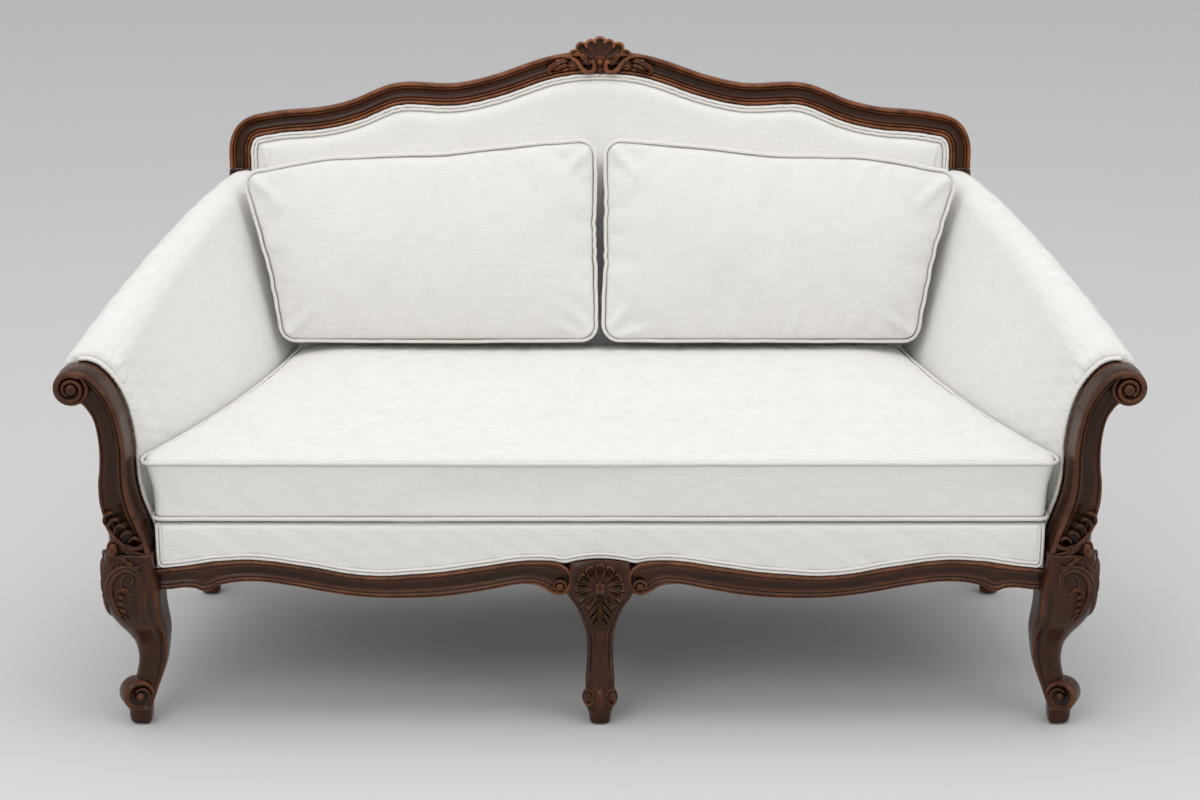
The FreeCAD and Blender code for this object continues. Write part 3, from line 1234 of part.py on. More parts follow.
def seat_body(skin):
    """The bench cushion, or its filling if skin is the cover's thickness."""
    inset = PIPING + skin
    levels = [
        (SEAT_BOTTOM + skin, inset + s.seam_tuck, inset + s.seam_tuck),
        (SEAT_LOWER + skin / 2, inset, inset),
    ]
    for share, draw in WAIST_LEVELS:
        waist = inset + s.cushion_waist * draw
        levels.append((between(SEAT_LOWER, SEAT_UPPER, share), waist, waist))
    levels.append((SEAT_UPPER - skin / 2, inset, inset))
    for step in CROWN_STEPS:
        levels.append((SEAT_UPPER + (s.seat_crown - skin) * crown_rise(step),
                       between(inset, s.crown_spread, step),
                       between(inset, s.crown_rear_spread, step)))
    return Part.makeLoft([seat_outline(*level) for level in levels], True, True)


def welt_pair(outlines):
    """A piping cord round each of a cushion's two seams."""
    return Part.makeCompound([tube(outline, s.welt_radius) for outline in outlines])


keep("seat_cushion_cover", seat_body(0).cut(seat_body(s.cover_thickness)))
keep("seat_cushion_core", seat_body(s.cover_thickness + s.fit_gap))
keep("seat_cushion_piping", welt_pair([
    seat_outline(SEAT_LOWER, s.welt_radius, s.welt_radius),
    seat_outline(SEAT_UPPER, s.welt_radius, s.welt_radius)]))
zip_y = s.seat_rear - PIPING - s.cushion_waist * ZIP_DRAW
zip_z = (SEAT_LOWER + SEAT_UPPER - s.zip_width) / 2
keep("seat_cushion_zip", block(-s.seat_zip_length / 2, s.seat_zip_length / 2, zip_y,
                               zip_y + s.zip_thickness, zip_z, zip_z + s.zip_width))

# The back cushions, drawn in the back's frame: they lean on the inside back and stand on the bench
# cushion's crown with their lower front piping.

LEAN = math.radians(s.back_lean)
CUSHION_REAR = -s.back_pad_front - s.fit_gap
REAR_SEAM = CUSHION_REAR - s.seat_seam_rise
FRONT_SEAM = REAR_SEAM - s.back_cushion_border
CUSHION_FOOT = ((SEAT_TOP + s.fit_gap + s.welt_radius - s.back_foot + FRONT_SEAM * math.sin(LEAN))
                / math.cos(LEAN) - s.welt_radius)


def back_cushion_outline(through, inset):
    """The right-hand back cushion's outline at a depth through the back, drawn in by inset."""
    foot = CUSHION_FOOT + inset
    inner = s.back_cushion_inner_half + inset
    corners = [
        Vector(inner, through, foot),
        Vector(s.back_cushion_half - inset, through, foot),
        Vector(s.back_cushion_top_half - inset, through, CUSHION_FOOT + s.back_cushion_outer - inset),
        Vector(inner + s.back_cushion_splay, through, CUSHION_FOOT + s.back_cushion_inner - inset),
    ]
    return rounded(corners, [corner_radius(inset)] * 4)


def back_cushion_body(skin):
    """The right-hand back cushion, or its filling if skin is the cover's thickness."""
    inset = PIPING + skin
    levels = [(CUSHION_REAR - skin, inset + s.seam_tuck), (REAR_SEAM - skin / 2, inset)]
    for share, draw in WAIST_LEVELS:
        levels.append((between(REAR_SEAM, FRONT_SEAM, share), inset + s.cushion_waist * draw))
    levels.append((FRONT_SEAM + skin / 2, inset))
    for step in CROWN_STEPS:
        rise = (s.back_cushion_crown - skin) * crown_rise(step)
        levels.append((FRONT_SEAM - rise, between(inset, s.back_crown_spread, step)))
    return Part.makeLoft([back_cushion_outline(*level) for level in levels], True, True)


def back_cushion_zip():
    """The zip tape under a back cushion."""
    middle = (s.back_cushion_inner_half + s.back_cushion_half) / 2
    top = CUSHION_FOOT + PIPING + s.cushion_waist * ZIP_DRAW
    depth = (REAR_SEAM + FRONT_SEAM - s.zip_width) / 2
    return block(middle - s.back_zip_length / 2, middle + s.back_zip_length / 2,
                 depth, depth + s.zip_width, top - s.zip_thickness, top)


BACK_CUSHION = {
    "cover": back_cushion_body(0).cut(back_cushion_body(s.cover_thickness)),
    "core": back_cushion_body(s.cover_thickness + s.fit_gap),
    "piping": welt_pair([back_cushion_outline(REAR_SEAM, s.welt_radius),
                         back_cushion_outline(FRONT_SEAM, s.welt_radius)]),
    "zip": back_cushion_zip(),
}
for part, shape in BACK_CUSHION.items():
    upright = back_shape(shape)
    keep("back_cushion_right_" + part, upright)
    keep("back_cushion_left_" + part, mirrored(upright))


def finish():
    """Check every piece and write it out."""
    DOC.recompute()
    for thing in DOC.Objects:
        bad = [word for word in thing.State if word in ("Invalid", "Error")]
        if bad:
            raise RuntimeError("%s did not compute: %s" % (thing.Name, bad))
    for piece in PIECES:
        if piece.Shape.isNull() or not piece.Shape.isValid():
            raise RuntimeError("%s is not a valid solid" % piece.Label)
    os.makedirs("parts", exist_ok=True)
    for piece in PIECES:
        piece.Shape.exportStep("parts/%s.step" % piece.Label)
        print(piece.Label, len(piece.Shape.Solids), round(piece.Shape.Volume / 1000), "cm3")


finish()
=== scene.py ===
import bmesh
import bpy
import json
import math
import numpy as np
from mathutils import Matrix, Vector
from mathutils.bvhtree import BVHTree


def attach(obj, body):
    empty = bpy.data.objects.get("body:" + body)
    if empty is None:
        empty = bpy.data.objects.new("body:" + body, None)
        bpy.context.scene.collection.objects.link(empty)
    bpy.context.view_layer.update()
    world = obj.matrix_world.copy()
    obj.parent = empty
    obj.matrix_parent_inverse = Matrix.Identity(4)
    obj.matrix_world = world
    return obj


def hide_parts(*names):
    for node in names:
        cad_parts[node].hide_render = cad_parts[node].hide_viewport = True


# The looks of the cabriole sofa. Lengths are millimetres: X to the right as the sofa is seen from the
# front, Y from the front feet to the back, Z up from the floor. add_piece turns them into metres
# about the middle of the sofa's depth.

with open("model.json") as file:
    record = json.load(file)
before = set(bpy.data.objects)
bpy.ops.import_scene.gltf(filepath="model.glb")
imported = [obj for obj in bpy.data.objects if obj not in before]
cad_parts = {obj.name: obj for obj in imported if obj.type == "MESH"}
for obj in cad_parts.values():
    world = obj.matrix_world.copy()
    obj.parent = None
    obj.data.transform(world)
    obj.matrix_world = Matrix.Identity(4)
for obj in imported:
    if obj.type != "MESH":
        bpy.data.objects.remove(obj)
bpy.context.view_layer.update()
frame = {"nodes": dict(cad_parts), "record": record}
DEPTH_CENTRE = 386.4
ROOT = "sofa_frame"
SCENE = bpy.context.scene


# Curves and surfaces as arrays of points

def unit(vectors):
    return vectors / np.linalg.norm(vectors, axis=-1, keepdims=True)


def bump(values, centre, width):
    return np.exp(-(((values - centre) / width) ** 2))


def ramp(values, low, high):
    """0 below low, 1 above high and a smooth step between."""
    share = np.clip((values - low) / (high - low), 0, 1)
    return share * share * (3 - 2 * share)


def lerp(start, end, share):
    return start + (end - start) * share


def resampled(points, count):
    """A line of points at equal distances along another."""
    steps = np.linalg.norm(np.diff(points, axis=0), axis=1)
    place = np.concatenate([[0], np.cumsum(steps)])
    wanted = np.linspace(0, place[-1], count)
    return np.stack([np.interp(wanted, place, column) for column in points.T], axis=1)


def spans(points):
    """Smooth runs from each point to the next; the first and last points only guide the ends."""
    steps = np.linspace(0, 1, 17)[:-1, None]
    runs = []
    for a, b, c, d in zip(points, points[1:], points[2:], points[3:]):
        bend = (2 * a - 5 * b + 4 * c - d) * steps ** 2 + (3 * b - a - 3 * c + d) * steps ** 3
        runs.append(b + 0.5 * ((c - a) * steps + bend))
    return runs


def curve(points, count):
    """A smooth curve through points, as count points at equal distances."""
    points = np.asarray(points, float)
    guided = np.vstack([2 * points[0] - points[1], points, 2 * points[-1] - points[-2]])
    return resampled(np.vstack(spans(guided) + [points[-1:]]), count)


def loop(points, count):
    """A smooth closed curve through points; its last point isn't repeated."""
    points = np.asarray(points, float)
    runs = spans(np.vstack([points[-2:], points, points[:3]]))
    whole = np.vstack(runs[1:len(points) + 1])
    return resampled(np.vstack([whole, whole[:1]]), count + 1)[:-1]


def tangents(path, closed=False):
    if closed:
        return unit(np.roll(path, -1, axis=0) - np.roll(path, 1, axis=0))
    return unit(np.gradient(path, axis=0))


def sheet(points, wrap=False, caps=False):
    """Quads over an array of rows of points. wrap joins each row's ends and caps fills both ends."""
    rows, columns = points.shape[:2]
    index = np.arange(rows * columns).reshape(rows, columns)
    after = np.roll(index, -1, axis=1) if wrap else index[:, 1:]
    here = index if wrap else index[:, :-1]
    quads = np.stack([here[:-1], after[:-1], after[1:], here[1:]], axis=-1).reshape(-1, 4)
    faces = [tuple(quad) for quad in quads.tolist()]
    if caps:
        faces.append(tuple(index[0, ::-1].tolist()))
        faces.append(tuple(index[-1].tolist()))
    return points.reshape(-1, 3), faces


def sweep(path, normals, section, scale=None, closed=False):
    """Rows of a section, given as across and up, carried along a path. normals: one for all or each."""
    along = tangents(path, closed)
    across = unit(np.cross(along, normals))
    up = unit(np.cross(across, along))
    scale = np.ones((len(path), 1)) if scale is None else np.asarray(scale, float).reshape(len(path), -1)
    wide = scale[:, :1, None] * section[None, :, :1] * across[:, None]
    high = scale[:, -1:, None] * section[None, :, 1:] * up[:, None]
    return path[:, None] + wide + high


def circle(sides):
    turn = np.linspace(0, 2 * math.pi, sides, endpoint=False)
    return np.stack([np.cos(turn), np.sin(turn)], axis=1)


def cord(path, radius, closed=False, sides=10, normals=None):
    """A round cord along a path; its radius may be a number or one for each point."""
    if normals is None:
        along = tangents(path, closed)
        normals = np.eye(3)[np.argmin(np.abs(along).mean(axis=0))]
    rows = sweep(path, normals, circle(sides), np.broadcast_to(radius, len(path)), closed)
    if closed:
        rows = np.concatenate([rows, rows[:1]])
    return sheet(rows, wrap=True, caps=not closed)


def ball(centre, radii, sides=20):
    """A rounded boss about a point."""
    turn = np.linspace(0, 2 * math.pi, sides, endpoint=False)
    rise = np.linspace(0.04, math.pi - 0.04, sides // 2 + 1)
    shape = np.stack([
        np.sin(rise)[:, None] * np.cos(turn)[None],
        np.broadcast_to(np.cos(rise)[:, None], (len(rise), sides)),
        np.sin(rise)[:, None] * np.sin(turn)[None],
    ], axis=-1)
    return sheet(np.asarray(centre, float) + shape * np.asarray(radii, float), wrap=True, caps=True)


def leaf(path, normals, width, height, teeth=0, vein=0.35):
    """A carved leaf along a path on a surface: swollen, pointed, with a vein and toothed edges."""
    share = np.linspace(0, 1, len(path))
    taper = np.sin(math.pi * np.clip(share, 0.001, 0.999)) ** 0.55
    notch = 1 - 0.28 * np.abs(np.sin(math.pi * teeth * share)) ** 3 if teeth else 1.0
    across = np.linspace(-1, 1, 13)
    rise = (1 - across ** 2) ** 0.5 - vein * bump(across, 0, 0.16)
    rise -= 0.5 * (np.abs(across) > 0.99)
    section = np.stack([across, rise], axis=1)
    scale = np.stack([width * taper * notch, height * taper], axis=1)
    return sheet(sweep(path, normals, section, scale))


def mirrored(part):
    points, faces = part
    return points * np.array([-1, 1, 1]), [face[::-1] for face in faces]


def moved(part, offset):
    return part[0] + np.asarray(offset, float), part[1]


def both(parts):
    return parts + [mirrored(part) for part in parts]


def add_piece(name, parts, material, body=ROOT, replaces=()):
    """Join parts into one Blender object that rides on a body."""
    points = []
    faces = []
    for part_points, part_faces in parts:
        start = sum(len(block) for block in points)
        points.append(part_points)
        faces += [tuple(start + corner for corner in face) for face in part_faces]
    metres = (np.vstack(points) - np.array([0, DEPTH_CENTRE, 0])) / 1000
    mesh = bpy.data.meshes.new(name)
    mesh.from_pydata(metres.tolist(), [], faces)
    mesh.update()
    mesh.shade_smooth()
    piece = bpy.data.objects.new(name, mesh)
    SCENE.collection.objects.link(piece)
    mesh.materials.append(material)
    outward_faces(mesh)
    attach(piece, body)
    if replaces:
        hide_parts(*replaces)
    return piece


def outward_faces(mesh):
    work = bmesh.new()
    work.from_mesh(mesh)
    bmesh.ops.recalc_face_normals(work, faces=work.faces)
    work.to_mesh(mesh)
    work.free()


def add_pair(name, parts, material, replaces=()):
    """The left-hand piece as it is drawn, and its mirror image as the right-hand one."""
    left = [node + "_left" for node in replaces]
    right = [node + "_right" for node in replaces]
    add_piece(name + "_left", parts, material, ROOT, left)
    add_piece(name + "_right", [mirrored(part) for part in parts], material, ROOT, right)


# Materials

class Shader:
    """A material under construction: its nodes are made one by one and joined by their inputs."""

    def __init__(self, name):
        self.material = bpy.data.materials.new(name)
        self.material.use_nodes = True
        self.tree = self.material.node_tree
        self.surface = self.tree.nodes["Principled BSDF"]

    def node(self, kind, inputs=None, **settings):
        made = self.tree.nodes.new(kind)
        for key, value in settings.items():
            setattr(made, key, value)
        for key, value in (inputs or {}).items():
            self.put(made, key, value)
        return made

    def put(self, node, key, value):
        if isinstance(value, bpy.types.Node):
            value = value.outputs[0]
        if isinstance(value, bpy.types.NodeSocket):
            self.tree.links.new(value, node.inputs[key])
        else:
            node.inputs[key].default_value = value

    def noise(self, scale, detail, rough, stretch=(1, 1, 1)):
        place = self.node("ShaderNodeTexCoord")
        mapping = self.node("ShaderNodeMapping", {"Vector": place.outputs["Object"], "Scale": stretch})
        made = self.node("ShaderNodeTexNoise", {"Vector": mapping, "Scale": scale, "Detail": detail,
                                                "Roughness": rough})
        return made.outputs["Fac"]

    def ramp(self, value, stops):
        """Colours at places from 0 to 1; a single number stands for a grey."""
        made = self.node("ShaderNodeValToRGB", {"Fac": value})
        points = made.color_ramp.elements
        while len(points) < len(stops):
            points.new(0.5)
        for point, (place, colour) in zip(points, stops):
            point.position = place
            point.color = (colour if isinstance(colour, tuple) else (colour,) * 3) + (1.0,)
        return made.outputs["Color"]

    def mix(self, share, first, second, blend="MIX"):
        made = self.node("ShaderNodeMix", data_type="RGBA", blend_type=blend)
        self.put(made, 0, share)
        self.put(made, 6, first if not isinstance(first, tuple) else first + (1.0,))
        self.put(made, 7, second if not isinstance(second, tuple) else second + (1.0,))
        return made.outputs[2]

    def painted_crevice_shade(self, reach, low, high):
        """Painted-shade mask: 1 in narrow gaps and grooves within reach, 0 in the open, from ambient
        occlusion.
        """
        made = self.node("ShaderNodeAmbientOcclusion", {"Distance": reach}, samples=5)
        return self.ramp(made.outputs["AO"], [(low, 1.0), (high, 0.0)])

    def bump(self, height, strength, distance, normal=None):
        made = self.node("ShaderNodeBump", {"Height": height, "Strength": strength, "Distance": distance})
        if normal is not None:
            self.put(made, "Normal", normal)
        return made.outputs["Normal"]

    def finish(self, **sockets):
        for key, value in sockets.items():
            self.put(self.surface, key.replace("_", " "), value)
        return self.material


def carved_wood(name, stretch, tone=1.0):
    """Dark walnut: streaky grain, painted near-black shade in the hollows and reddish raised edges, partly
    worn and partly a painted highlight, under satin lacquer.
    """
    shader = Shader(name)

    def toned(*colour):
        return tuple(tone * part for part in colour)

    streaks = shader.noise(26, 6, 0.6, stretch)
    fine = shader.noise(120, 5, 0.65, stretch)
    clouds = shader.noise(5, 2, 0.5)
    grain = shader.mix(0.45, streaks, fine)
    wood = shader.ramp(grain, [(0.30, toned(0.013, 0.0036, 0.0014)), (0.5, toned(0.044, 0.0118, 0.0038)),
                               (0.66, toned(0.092, 0.0270, 0.0084)), (0.8, toned(0.135, 0.0450, 0.0150))])
    wood = shader.mix(shader.ramp(clouds, [(0.35, 0.0), (0.7, 0.45)]), wood,
                      toned(0.072, 0.0195, 0.0058))
    geometry = shader.node("ShaderNodeNewGeometry")
    sharp = geometry.outputs["Pointiness"]
    # Painted shade: concave places, found by pointiness, are darkened to near-black.
    hollow = shader.ramp(sharp, [(0.43, 1.0), (0.488, 0.35), (0.499, 0.0)])
    # Lighter reddish raised edges, found by pointiness and broken up by noise: partly real wear, partly a
    # painted highlight.
    wear_and_highlight = shader.ramp(sharp, [(0.508, 0.0), (0.55, 0.45), (0.64, 0.9)])
    patch = shader.ramp(shader.noise(38, 3, 0.6), [(0.38, 0.25), (0.62, 1.0)])
    wear_and_highlight = shader.mix(1.0, wear_and_highlight, patch, "MULTIPLY")
    wood = shader.mix(wear_and_highlight, wood, toned(0.30, 0.105, 0.036))
    wood = shader.mix(hollow, wood, (0.0045, 0.0022, 0.0015))
    # Painted shade: narrow gaps and grooves, found by ambient occlusion, are darkened further.
    wood = shader.mix(shader.painted_crevice_shade(0.016, 0.30, 0.80), wood, (0.0035, 0.0016, 0.0011))
    gloss = shader.ramp(fine, [(0.3, 0.25), (0.7, 0.37)])
    normal = shader.bump(grain, 0.12, 0.0006)
    return shader.finish(Base_Color=wood, Roughness=gloss, Normal=normal, Coat_Weight=0.20,
                         Coat_Roughness=0.12, Specular_IOR_Level=0.18)


def linen(name, colour, shade):
    """Off-white linen: two sets of slubby threads over a soft mottled ground, with painted warm shade in its
    narrow grooves and gaps.
    """
    shader = Shader(name)
    weft = shader.noise(190, 3, 0.6, (0.30, 0.30, 5.0))
    warp = shader.noise(190, 3, 0.6, (5.0, 1.5, 0.30))
    slubs = shader.noise(60, 3, 0.6, (0.35, 0.35, 6.0))
    weave = shader.mix(0.5, weft, warp)
    weave = shader.mix(0.3, weave, slubs)
    mottle = shader.noise(9, 3, 0.55)
    base = shader.ramp(weave, [(0.32, shade), (0.62, colour)])
    soft = tuple(0.5 * (a + b) for a, b in zip(colour, shade))
    base = shader.mix(shader.ramp(mottle, [(0.4, 0.0), (0.7, 0.35)]), base, soft)
    # Painted shade: a darker, warmer colour laid into narrow grooves and gaps, found by ambient occlusion.
    painted_groove_shade = tuple(part * warm for part, warm in zip(shade, (0.66, 0.61, 0.54)))
    base = shader.mix(shader.painted_crevice_shade(0.006, 0.20, 0.80), base, painted_groove_shade)
    nubs = shader.noise(420, 2, 0.5)
    normal = shader.bump(nubs, 0.25, 0.0006)
    normal = shader.bump(weave, 0.35, 0.0010, normal)
    return shader.finish(Base_Color=base, Roughness=0.92, Normal=normal, Sheen_Weight=0.18,
                         Sheen_Roughness=0.5, Specular_IOR_Level=0.25)


def plain(name, dark, light, scale, roughness, metallic=0.0, stretch=(1, 1, 1)):
    """A quiet two-tone material for what lies hidden: sawn wood, steel, tape and webbing."""
    shader = Shader(name)
    spread = shader.noise(scale, 5, 0.6, stretch)
    base = shader.ramp(spread, [(0.35, dark), (0.65, light)])
    rough = shader.ramp(spread, [(0.3, roughness - 0.08), (0.7, roughness + 0.06)])
    return shader.finish(Base_Color=base, Roughness=rough, Metallic=metallic,
                         Normal=shader.bump(spread, 0.25, 0.0005))


# Three copies of the same walnut: the crest's is toned 1.5 times lighter and the uprights' 0.72 times darker
# than the rails'.
WALNUT_ALONG = carved_wood("walnut_rail", (0.12, 1.0, 1.6))
WALNUT_CREST = carved_wood("walnut_crest", (0.12, 1.0, 1.6), 1.5)
WALNUT_UP = carved_wood("walnut_upright", (1.5, 1.5, 0.14), 0.72)
LINEN = linen("linen", (0.85, 0.838, 0.815), (0.72, 0.705, 0.675))
WELT_LINEN = linen("linen_welt", (0.83, 0.813, 0.785), (0.68, 0.66, 0.625))
DECK_CLOTH = linen("deck_cloth", (0.74, 0.71, 0.65), (0.62, 0.59, 0.53))
BEECH = plain("sawn_beech", (0.34, 0.22, 0.12), (0.52, 0.37, 0.22), 30, 0.6, stretch=(0.2, 1, 1))
STEEL = plain("spring_steel", (0.22, 0.22, 0.23), (0.42, 0.42, 0.43), 60, 0.38, 1.0)
ZIP_TAPE = plain("zip_tape", (0.50, 0.47, 0.41), (0.66, 0.62, 0.55), 300, 0.8)
BLACK_CLOTH = plain("underside_cloth", (0.012, 0.012, 0.013), (0.035, 0.035, 0.037), 260, 0.9)
NODE_MATERIALS = {
    "show_wood": WALNUT_UP,
    "frame_wood": BEECH,
    "linen": LINEN,
    "cushion_linen": LINEN,
    "welt": WELT_LINEN,
    "steel": STEEL,
    "underside_cloth": BLACK_CLOTH,
    "deck_cloth": DECK_CLOTH,
    "foam": DECK_CLOTH,
    "zip_tape": ZIP_TAPE,
}
for entry in frame["record"]["subparts"]:
    node = frame["nodes"][entry["node"]]
    material = NODE_MATERIALS[entry["material_slot"]]
    if entry["node"].startswith(("side_apron", "rear_rail")):
        material = WALNUT_ALONG
    node.data.materials.clear()
    node.data.materials.append(material)


# The back's frame: X across, T through the back from its front face and H up it

LEAN = math.radians(9)
BACK_FOOT = np.array([0, 668.0, 300.0])
BACK_THROUGH = np.array([0, math.cos(LEAN), -math.sin(LEAN)])
BACK_UP = np.array([0, math.sin(LEAN), math.cos(LEAN)])


def on_back(x, through, height):
    """Points of the back's frame as points of the sofa."""
    x, through, height = np.broadcast_arrays(x, through, height)
    return (BACK_FOOT + x[..., None] * np.array([1.0, 0, 0]) + through[..., None] * BACK_THROUGH
            + height[..., None] * BACK_UP)


def up_back(z):
    """Height up the back of a point on its front face at a height over the floor."""
    return (z - BACK_FOOT[2]) / math.cos(LEAN)


# Crest rail

CREST_LEFT = [
    (-690, 300), (-683, 545), (-677, 740), (-676, 800), (-676.5, 822), (-674, 842), (-665, 860),
    (-650, 870.5), (-628, 875.5), (-600, 880), (-570, 882.5), (-540, 884.5), (-510, 888.5), (-480, 895),
    (-450, 904.5), (-420, 917.5), (-392, 928), (-365, 932.5), (-335, 932), (-300, 930), (-270, 930.5),
    (-240, 935), (-210, 942), (-180, 950.5), (-150, 961), (-120, 971.5), (-90, 980), (-60, 985.5),
    (-30, 988.5),
]
CREST_POINTS = CREST_LEFT + [(0, 989.5)] + [(-x, z) for x, z in reversed(CREST_LEFT)]
CREST_LINE = curve([(x, up_back(z)) for x, z in CREST_POINTS], 900)
CREST_JOINT = 498
HALF_BAND = 20.5
CREST_SECTION = np.array([
    (-20.5, 38), (-20.5, 1.5), (-20.2, -1.8), (-18.9, -4.0), (-17.0, -4.9), (-15.1, -4.3), (-13.7, -2.4),
    (-13.0, 0.6), (-12.4, 1.0), (-11.9, -0.9), (-10.9, -1.5), (-9.9, -1.3), (-9.2, 0.2), (-7.6, 2.6),
    (-4.8, 4.5), (-1.5, 5.6), (2.0, 5.7), (5.2, 4.4), (8.0, 1.8), (9.9, -1.4), (10.8, -2.6), (11.3, -2.6),
    (11.7, -0.4), (12.3, -0.4), (13.0, -3.4), (14.3, -5.8), (16.3, -6.9), (18.4, -6.2), (19.9, -4.0),
    (20.5, -1.0), (20.5, 4.0), (20.5, 38),
])


def outward(line):
    """The directions out of a line, in the plane of the back."""
    along = tangents(line)
    return np.stack([-along[:, 1], along[:, 0]], axis=1)


CREST_OUT = outward(CREST_LINE)


def crest_offset(distance, through):
    side = CREST_LINE + CREST_OUT * distance
    return on_back(side[:, 0], through, side[:, 1])


def crest_rail():
    above = (CREST_LINE[:, 1] > CREST_JOINT - 0.5)
    first, last = np.flatnonzero(above)[[0, -1]]
    rows = np.stack([crest_offset(across, through) for across, through in CREST_SECTION], axis=1)
    return sheet(rows[first:last + 1], wrap=True, caps=True)


add_piece("carved_crest_rail", [crest_rail()], WALNUT_CREST, replaces=["crest_rail"])


def back_path(points, ahead, count):
    """A curve over the back through points given as X and H, at distances ahead of its front face."""
    line = curve([(x, -off, h) for (x, h), off in zip(points, ahead)], count)
    return on_back(line[:, 0], line[:, 1], line[:, 2])


BACK_FRONT = -BACK_THROUGH


def back_leaf(points, ahead, width, height, teeth=0, vein=0.35):
    return leaf(back_path(points, ahead, 36), BACK_FRONT, width, height, teeth, vein)


# The shell on the crest, in the back's frame. A lobe is given by its angle, reach and half spread.

SHELL_ROOT_H = 697.0
SHELL_LOBES = [(-72, 60, 9.5), (-51, 55, 11.5), (-26, 47.5, 13), (0, 48.5, 14), (26, 47.5, 13),
               (51, 55, 11.5), (72, 60, 9.5)]
SHELL_RIM_HALF = 55.0
SHELL_RIM_HIGH = 44.0
SHELL_BEAD_H = 699.0
SHELL_EYE = (-49.0, 694.0)
SHELL_SCROLL = [(-72, 708), (-61, 708.5), (-51, 706), (-43, 700), (-37, 691), (-30, 683), (-21, 679.5),
                (-13, 683), (-10.5, 692), (-13.5, 699.5), (-18, 698)]
SHELL_SCROLL_AHEAD = [5, 10, 13, 14, 14, 14, 14, 14, 14, 14, 13]


def shell_lobe(angle, reach, spread):
    """One concave flute of the shell with its rolled rim."""
    turn = math.radians(angle)
    out = np.array([math.sin(turn), math.cos(turn)])
    side = np.array([math.cos(turn), -math.sin(turn)])
    share = np.linspace(0.1, 1, 30)[:, None]
    across = np.linspace(-1, 1, 17)[None, :]
    half = math.tan(math.radians(spread)) * reach * share * 0.98
    tip = np.sqrt(np.clip(1 - across ** 2, 0, 1))
    radial = reach * share * (0.80 + 0.20 * tip)
    flute = 3.4 * (1 - across ** 2) * ramp(share, 0.15, 0.7)
    ridge = 1.2 * bump(np.abs(across), 0.55, 0.12) * share
    rim = 5.0 * bump(share, 0.95, 0.075) * (0.35 + 0.65 * tip)
    ahead = np.where(share > 0.985, 0.0, 8.0 + 7.5 * share - flute + ridge + rim)
    x = out[0] + out[0] * radial + side[0] * half * across
    h = SHELL_ROOT_H + out[1] + out[1] * radial + side[1] * half * across
    return [sheet(on_back(x, -ahead, h)), cord(on_back(x[-3], 1.5 - ahead[-3], h[-3]), 2.3, sides=8)]


def shell_ground():
    """The oval ground behind the lobes, closed to the crest rail."""
    turn = np.radians(np.linspace(-98, 98, 60))
    rings = []
    for share, ahead in ((0.05, 7), (0.5, 9), (0.9, 9), (1.0, 5), (1.0, -30)):
        rings.append(on_back(np.sin(turn) * SHELL_RIM_HALF * share, -ahead,
                             SHELL_ROOT_H + np.cos(turn) * SHELL_RIM_HIGH * share))
    centre = np.broadcast_to(on_back(0.0, 30.0, SHELL_ROOT_H), rings[-1].shape)
    return [sheet(np.stack(rings)), sheet(np.stack([rings[-1], centre]))]


def back_ring_cord(x, h, reach, ahead, radius):
    """A thin ring round a bead on the back."""
    turn = np.linspace(0, 2 * math.pi, 25)
    return cord(on_back(x + reach * np.cos(turn), -ahead, h + reach * np.sin(turn)), radius, sides=6)


def shell_scroll():
    """The left-hand C-scroll, which thins at both ends."""
    path = back_path(SHELL_SCROLL, SHELL_SCROLL_AHEAD, 90)
    thick = 3.6 * ramp(np.linspace(0, 1, 90), -0.2, 0.35) + 0.7
    thick[-8:] *= np.linspace(1, 0.5, 8)
    return cord(path, thick, sides=12)


def crest_shell():
    """A scallop shell with concave flutes and rolled rims, C-scrolls, a bead, husks and side leaves."""
    parts = []
    for lobe in SHELL_LOBES:
        parts += shell_lobe(*lobe)
    parts += shell_ground()
    parts.append(ball(on_back(0.0, -13.0, SHELL_BEAD_H), (6.6, 6.6, 6.6)))
    parts.append(back_ring_cord(0.0, SHELL_BEAD_H, 8.6, 9.5, 1.5))
    half_parts = [
        shell_scroll(),
        ball(on_back(-17.5, -14.0, 698.0), (3.6, 3.4, 3.6), 12),
        back_leaf([(-16, 690), (-24, 697), (-33, 708), (-42, 717)], [9, 12, 14, 13], 5, 4, 3),
        back_leaf([(-20, 700), (-29, 708), (-39, 713), (-49, 712), (-55, 706)], [12, 16, 18, 17, 14],
                  4.6, 4.0, 3),
        ball(on_back(SHELL_EYE[0], -5.0, SHELL_EYE[1]), (6.2, 5.0, 6.2), 16),
        back_ring_cord(SHELL_EYE[0], SHELL_EYE[1], 8.2, 4.0, 1.4),
        back_leaf([(-56, 699), (-66, 701), (-78, 698), (-89, 690), (-93, 681)], [2, 5, 6, 6, 4], 6.5, 5.5, 4),
        back_leaf([(-55, 692), (-66, 692), (-77, 688), (-87, 682)], [1, 4, 5, 3], 5.0, 4.5, 3),
        back_leaf([(-54, 686), (-64, 684), (-74, 682)], [0, 3, 2], 3.6, 3.4, 2),
        back_leaf([(-84, 697), (-92, 692), (-96, 684), (-93, 677), (-88, 678)], [3, 5, 6, 5, 4], 3.0, 4.0),
        back_leaf([(-2, 692), (-5, 685), (-8, 678)], [8, 10, 7], 2.6, 3.2),
    ]
    parts.append(back_leaf([(0, 692), (0, 684), (0, 674)], [9, 11, 7], 3.0, 3.6))
    return parts + both(half_parts)


add_piece("carved_shell", crest_shell(), WALNUT_CREST, replaces=["crest_shell"])


# Arm supports

